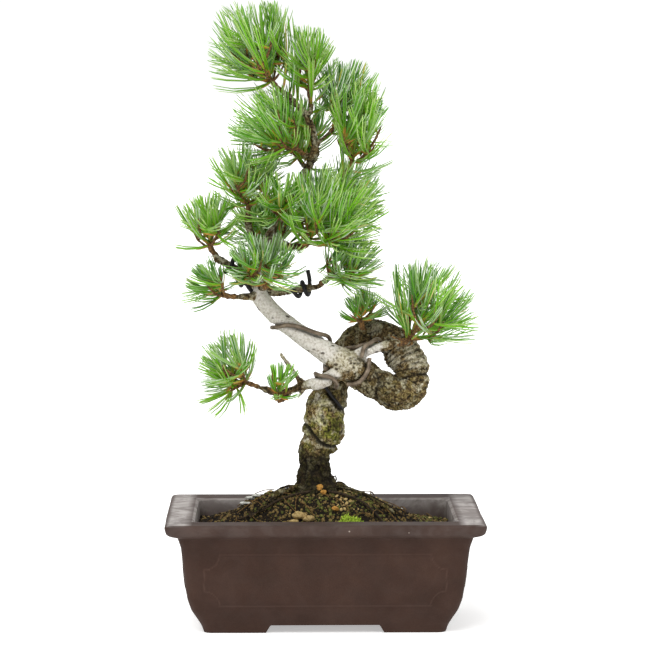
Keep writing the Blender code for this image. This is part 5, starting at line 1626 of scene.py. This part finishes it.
def leafMaterial(name, hexColour, shine):
    # Living pine needle: a waxy skin with a soft gloss. The bloom on the inner faces is matt and blue-white.
    # One colour for each spray, with only a slow change of tone over about 25 mm.
    material, tree, shader, place = newMaterial(name, Roughness=shine, Specular_IOR_Level=0.3)
    tint = addNode(tree, "ShaderNodeTexNoise", place, Scale=40, Detail=2)
    tone = addNode(tree, "ShaderNodeMapRange", tint, 0.3, 0.7, 0.88, 1.12)
    colour = addNode(tree, "ShaderNodeVectorMath", toLinear(hexColour)[:3], tone, operation="SCALE")
    setInputs(tree, shader, Base_Color=colour)
    return material


def youngBarkMaterial():
    # Bark of this year's and last year's shoots: orange-brown, scaly, with scales about 1 mm.
    material, tree, shader, place = newMaterial("shootBarkScaly", Roughness=0.8, Specular_IOR_Level=0.3)
    scales = addNode(tree, "ShaderNodeTexVoronoi", place, Scale=800)
    tones = ((0.1, "93703F"), (0.5, "66492A"), (0.9, "372616"))
    tone = addNode(tree, "ShaderNodeValToRGB", scales, stops=tones)
    bump = addNode(tree, "ShaderNodeBump", Strength=0.6, Distance=0.3 * mm, Height=scales)
    setInputs(tree, shader, Base_Color=tone, Normal=bump)
    return material


def growSprays(name, rows, tree, shape, width, seed, outer, inner):
    # One shape on every row of (place, direction, outward, lift, size).
    cloud = meshObject(name, [row[0] for row in rows], [])
    for attribute, values in zip(carried, list(zip(*rows))[1:]):
        kind = carried[attribute]
        field = cloud.data.attributes.new(attribute, kind, "POINT").data
        field.foreach_set("value" if kind == "FLOAT" else "vector", np.array(values, np.float32).ravel())
    runTree(cloud, tree, Shape=shape, Width=width, Outer_Face=outer, Inner_Face=inner, Seed=seed)
    return cloud


def makeNeedles():
    look = needleLook
    taken = Taken()
    for name, line in (*ruleLines.items(), *wireLines.items()):
        taken.add(name, [row[:2] for row in line])
    room = copy.deepcopy(taken)
    stems = {name: growStem(name) for name in masses}
    for name, stem in stems.items():
        taken.add(name, stem)
    grown = {name: growShoots(name, stems[name], taken) for name in masses}

    twigs = Batch()
    needles = {tint: [] for tint in look["tints"]}
    owners = {tint: set() for tint in look["tints"]}
    sheaths = []
    for name, (shoots, cadTwigs) in grown.items():
        chance = random.Random(name + " fine")
        (root, thick), *higher = stems[name]
        ahead = (higher[0][0] - root).normalized()
        addTwig(twigs, [(root - ahead * 2.5 * mm, thick * 0.92), *higher], chance)
        for (a, thick), (b, thin) in cadTwigs:
            sag = a.lerp(b, 0.5) - up * (b - a).length * 0.08
            addTwig(twigs, [(a, thick * 0.8), (sag, (thick + thin) * 0.35), (b, thin * 0.7)], chance)
        finer = sideShoots(name, shoots, chance)
        end = stems[name][-1][0]
        finer += [(end, end + Vector(spot) * mm, Vector(way).normalized())
                  for spot, way in look["besides"].get(name, ())]
        share = look["thin"].get(name, 1)
        sprays = [(root, axis, round(look["bundles"] * share)) for root, axis in shoots]
        sprays += [(tip, out, round(look["sideBundles"] * share)) for _, tip, out in finer]
        lead = look["lead"] * look["crowded"]
        for root, axis, _ in sprays:
            addTwig(twigs, [(root + axis * lead * along, radius * mm) for along, radius in (
                (0, 0.75), (0.6, 0.6), (1, 0.35), (1.2, 0.2))], chance)
        for start, tip, ahead in finer:
            addTwig(twigs, [(start, 0.85 * mm), (start.lerp(tip, 0.6) - ahead * 0.8 * mm, 0.75 * mm),
                            (tip, 0.7 * mm)], chance)
        clothed = [(a, b, thin, name) for (a, _), (b, thin) in cadTwigs]
        clothed += [(start, tip, 0.9 * mm, name) for start, tip, _ in finer] + limbsInside(name)
        for start, out, length, lift, spread, tints in growBundles(name, sprays, clothed, chance, room):
            first = chance.uniform(0, math.tau)
            sheaths.append((start, out, turnedFrom(out, math.pi / 2, first), Vector(), look["sheath"][1]))
            for k, tint in enumerate(tints):
                owners[tint].add(name)
                own = turnedFrom(out, spread * chance.uniform(0.6, 1.3), first + k * math.tau / 5)
                outward = (own - out * own.dot(out)).normalized()
                root = start + out * 0.5 * mm + outward * 0.3 * mm
                needles[tint].append((root, own, outward, lift, length * chance.uniform(0.96, 1.0)))

    tree = sprayTree()
    shape, sheath = needleShape(), sheathShape()
    for tint, rows in needles.items():
        faces = [leafMaterial(f"pineNeedle{tint.title()}{face}", colour, rough)
                 for face, colour, rough in zip(("Waxy", "Bloom"), look["tints"][tint], (0.42, 0.62))]
        sprays = growSprays("needles_" + tint, rows, tree, shape, look["width"], look["widthSeed"], *faces)
        finishPiece(sprays, "needles", *sorted(owners[tint]))
    amber = leafMaterial("needleSheathPapery", "B07E38", 0.6)
    width = look["sheath"][0]
    sprays = growSprays("needle_sheaths", sheaths, tree, sheath, width, look["sheathSeed"], amber, amber)
    finishPiece(sprays, "needles")
    fineTwigs = twigs.build("shoots_and_twigs", youngBarkMaterial())
    fineTwigs.data.shade_smooth()
    finishPiece(fineTwigs, "brown_bark")
    for helper in (shape, sheath):
        bpy.data.objects.remove(helper, do_unlink=True)


makeNeedles()
report("needles")

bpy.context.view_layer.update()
report("done")
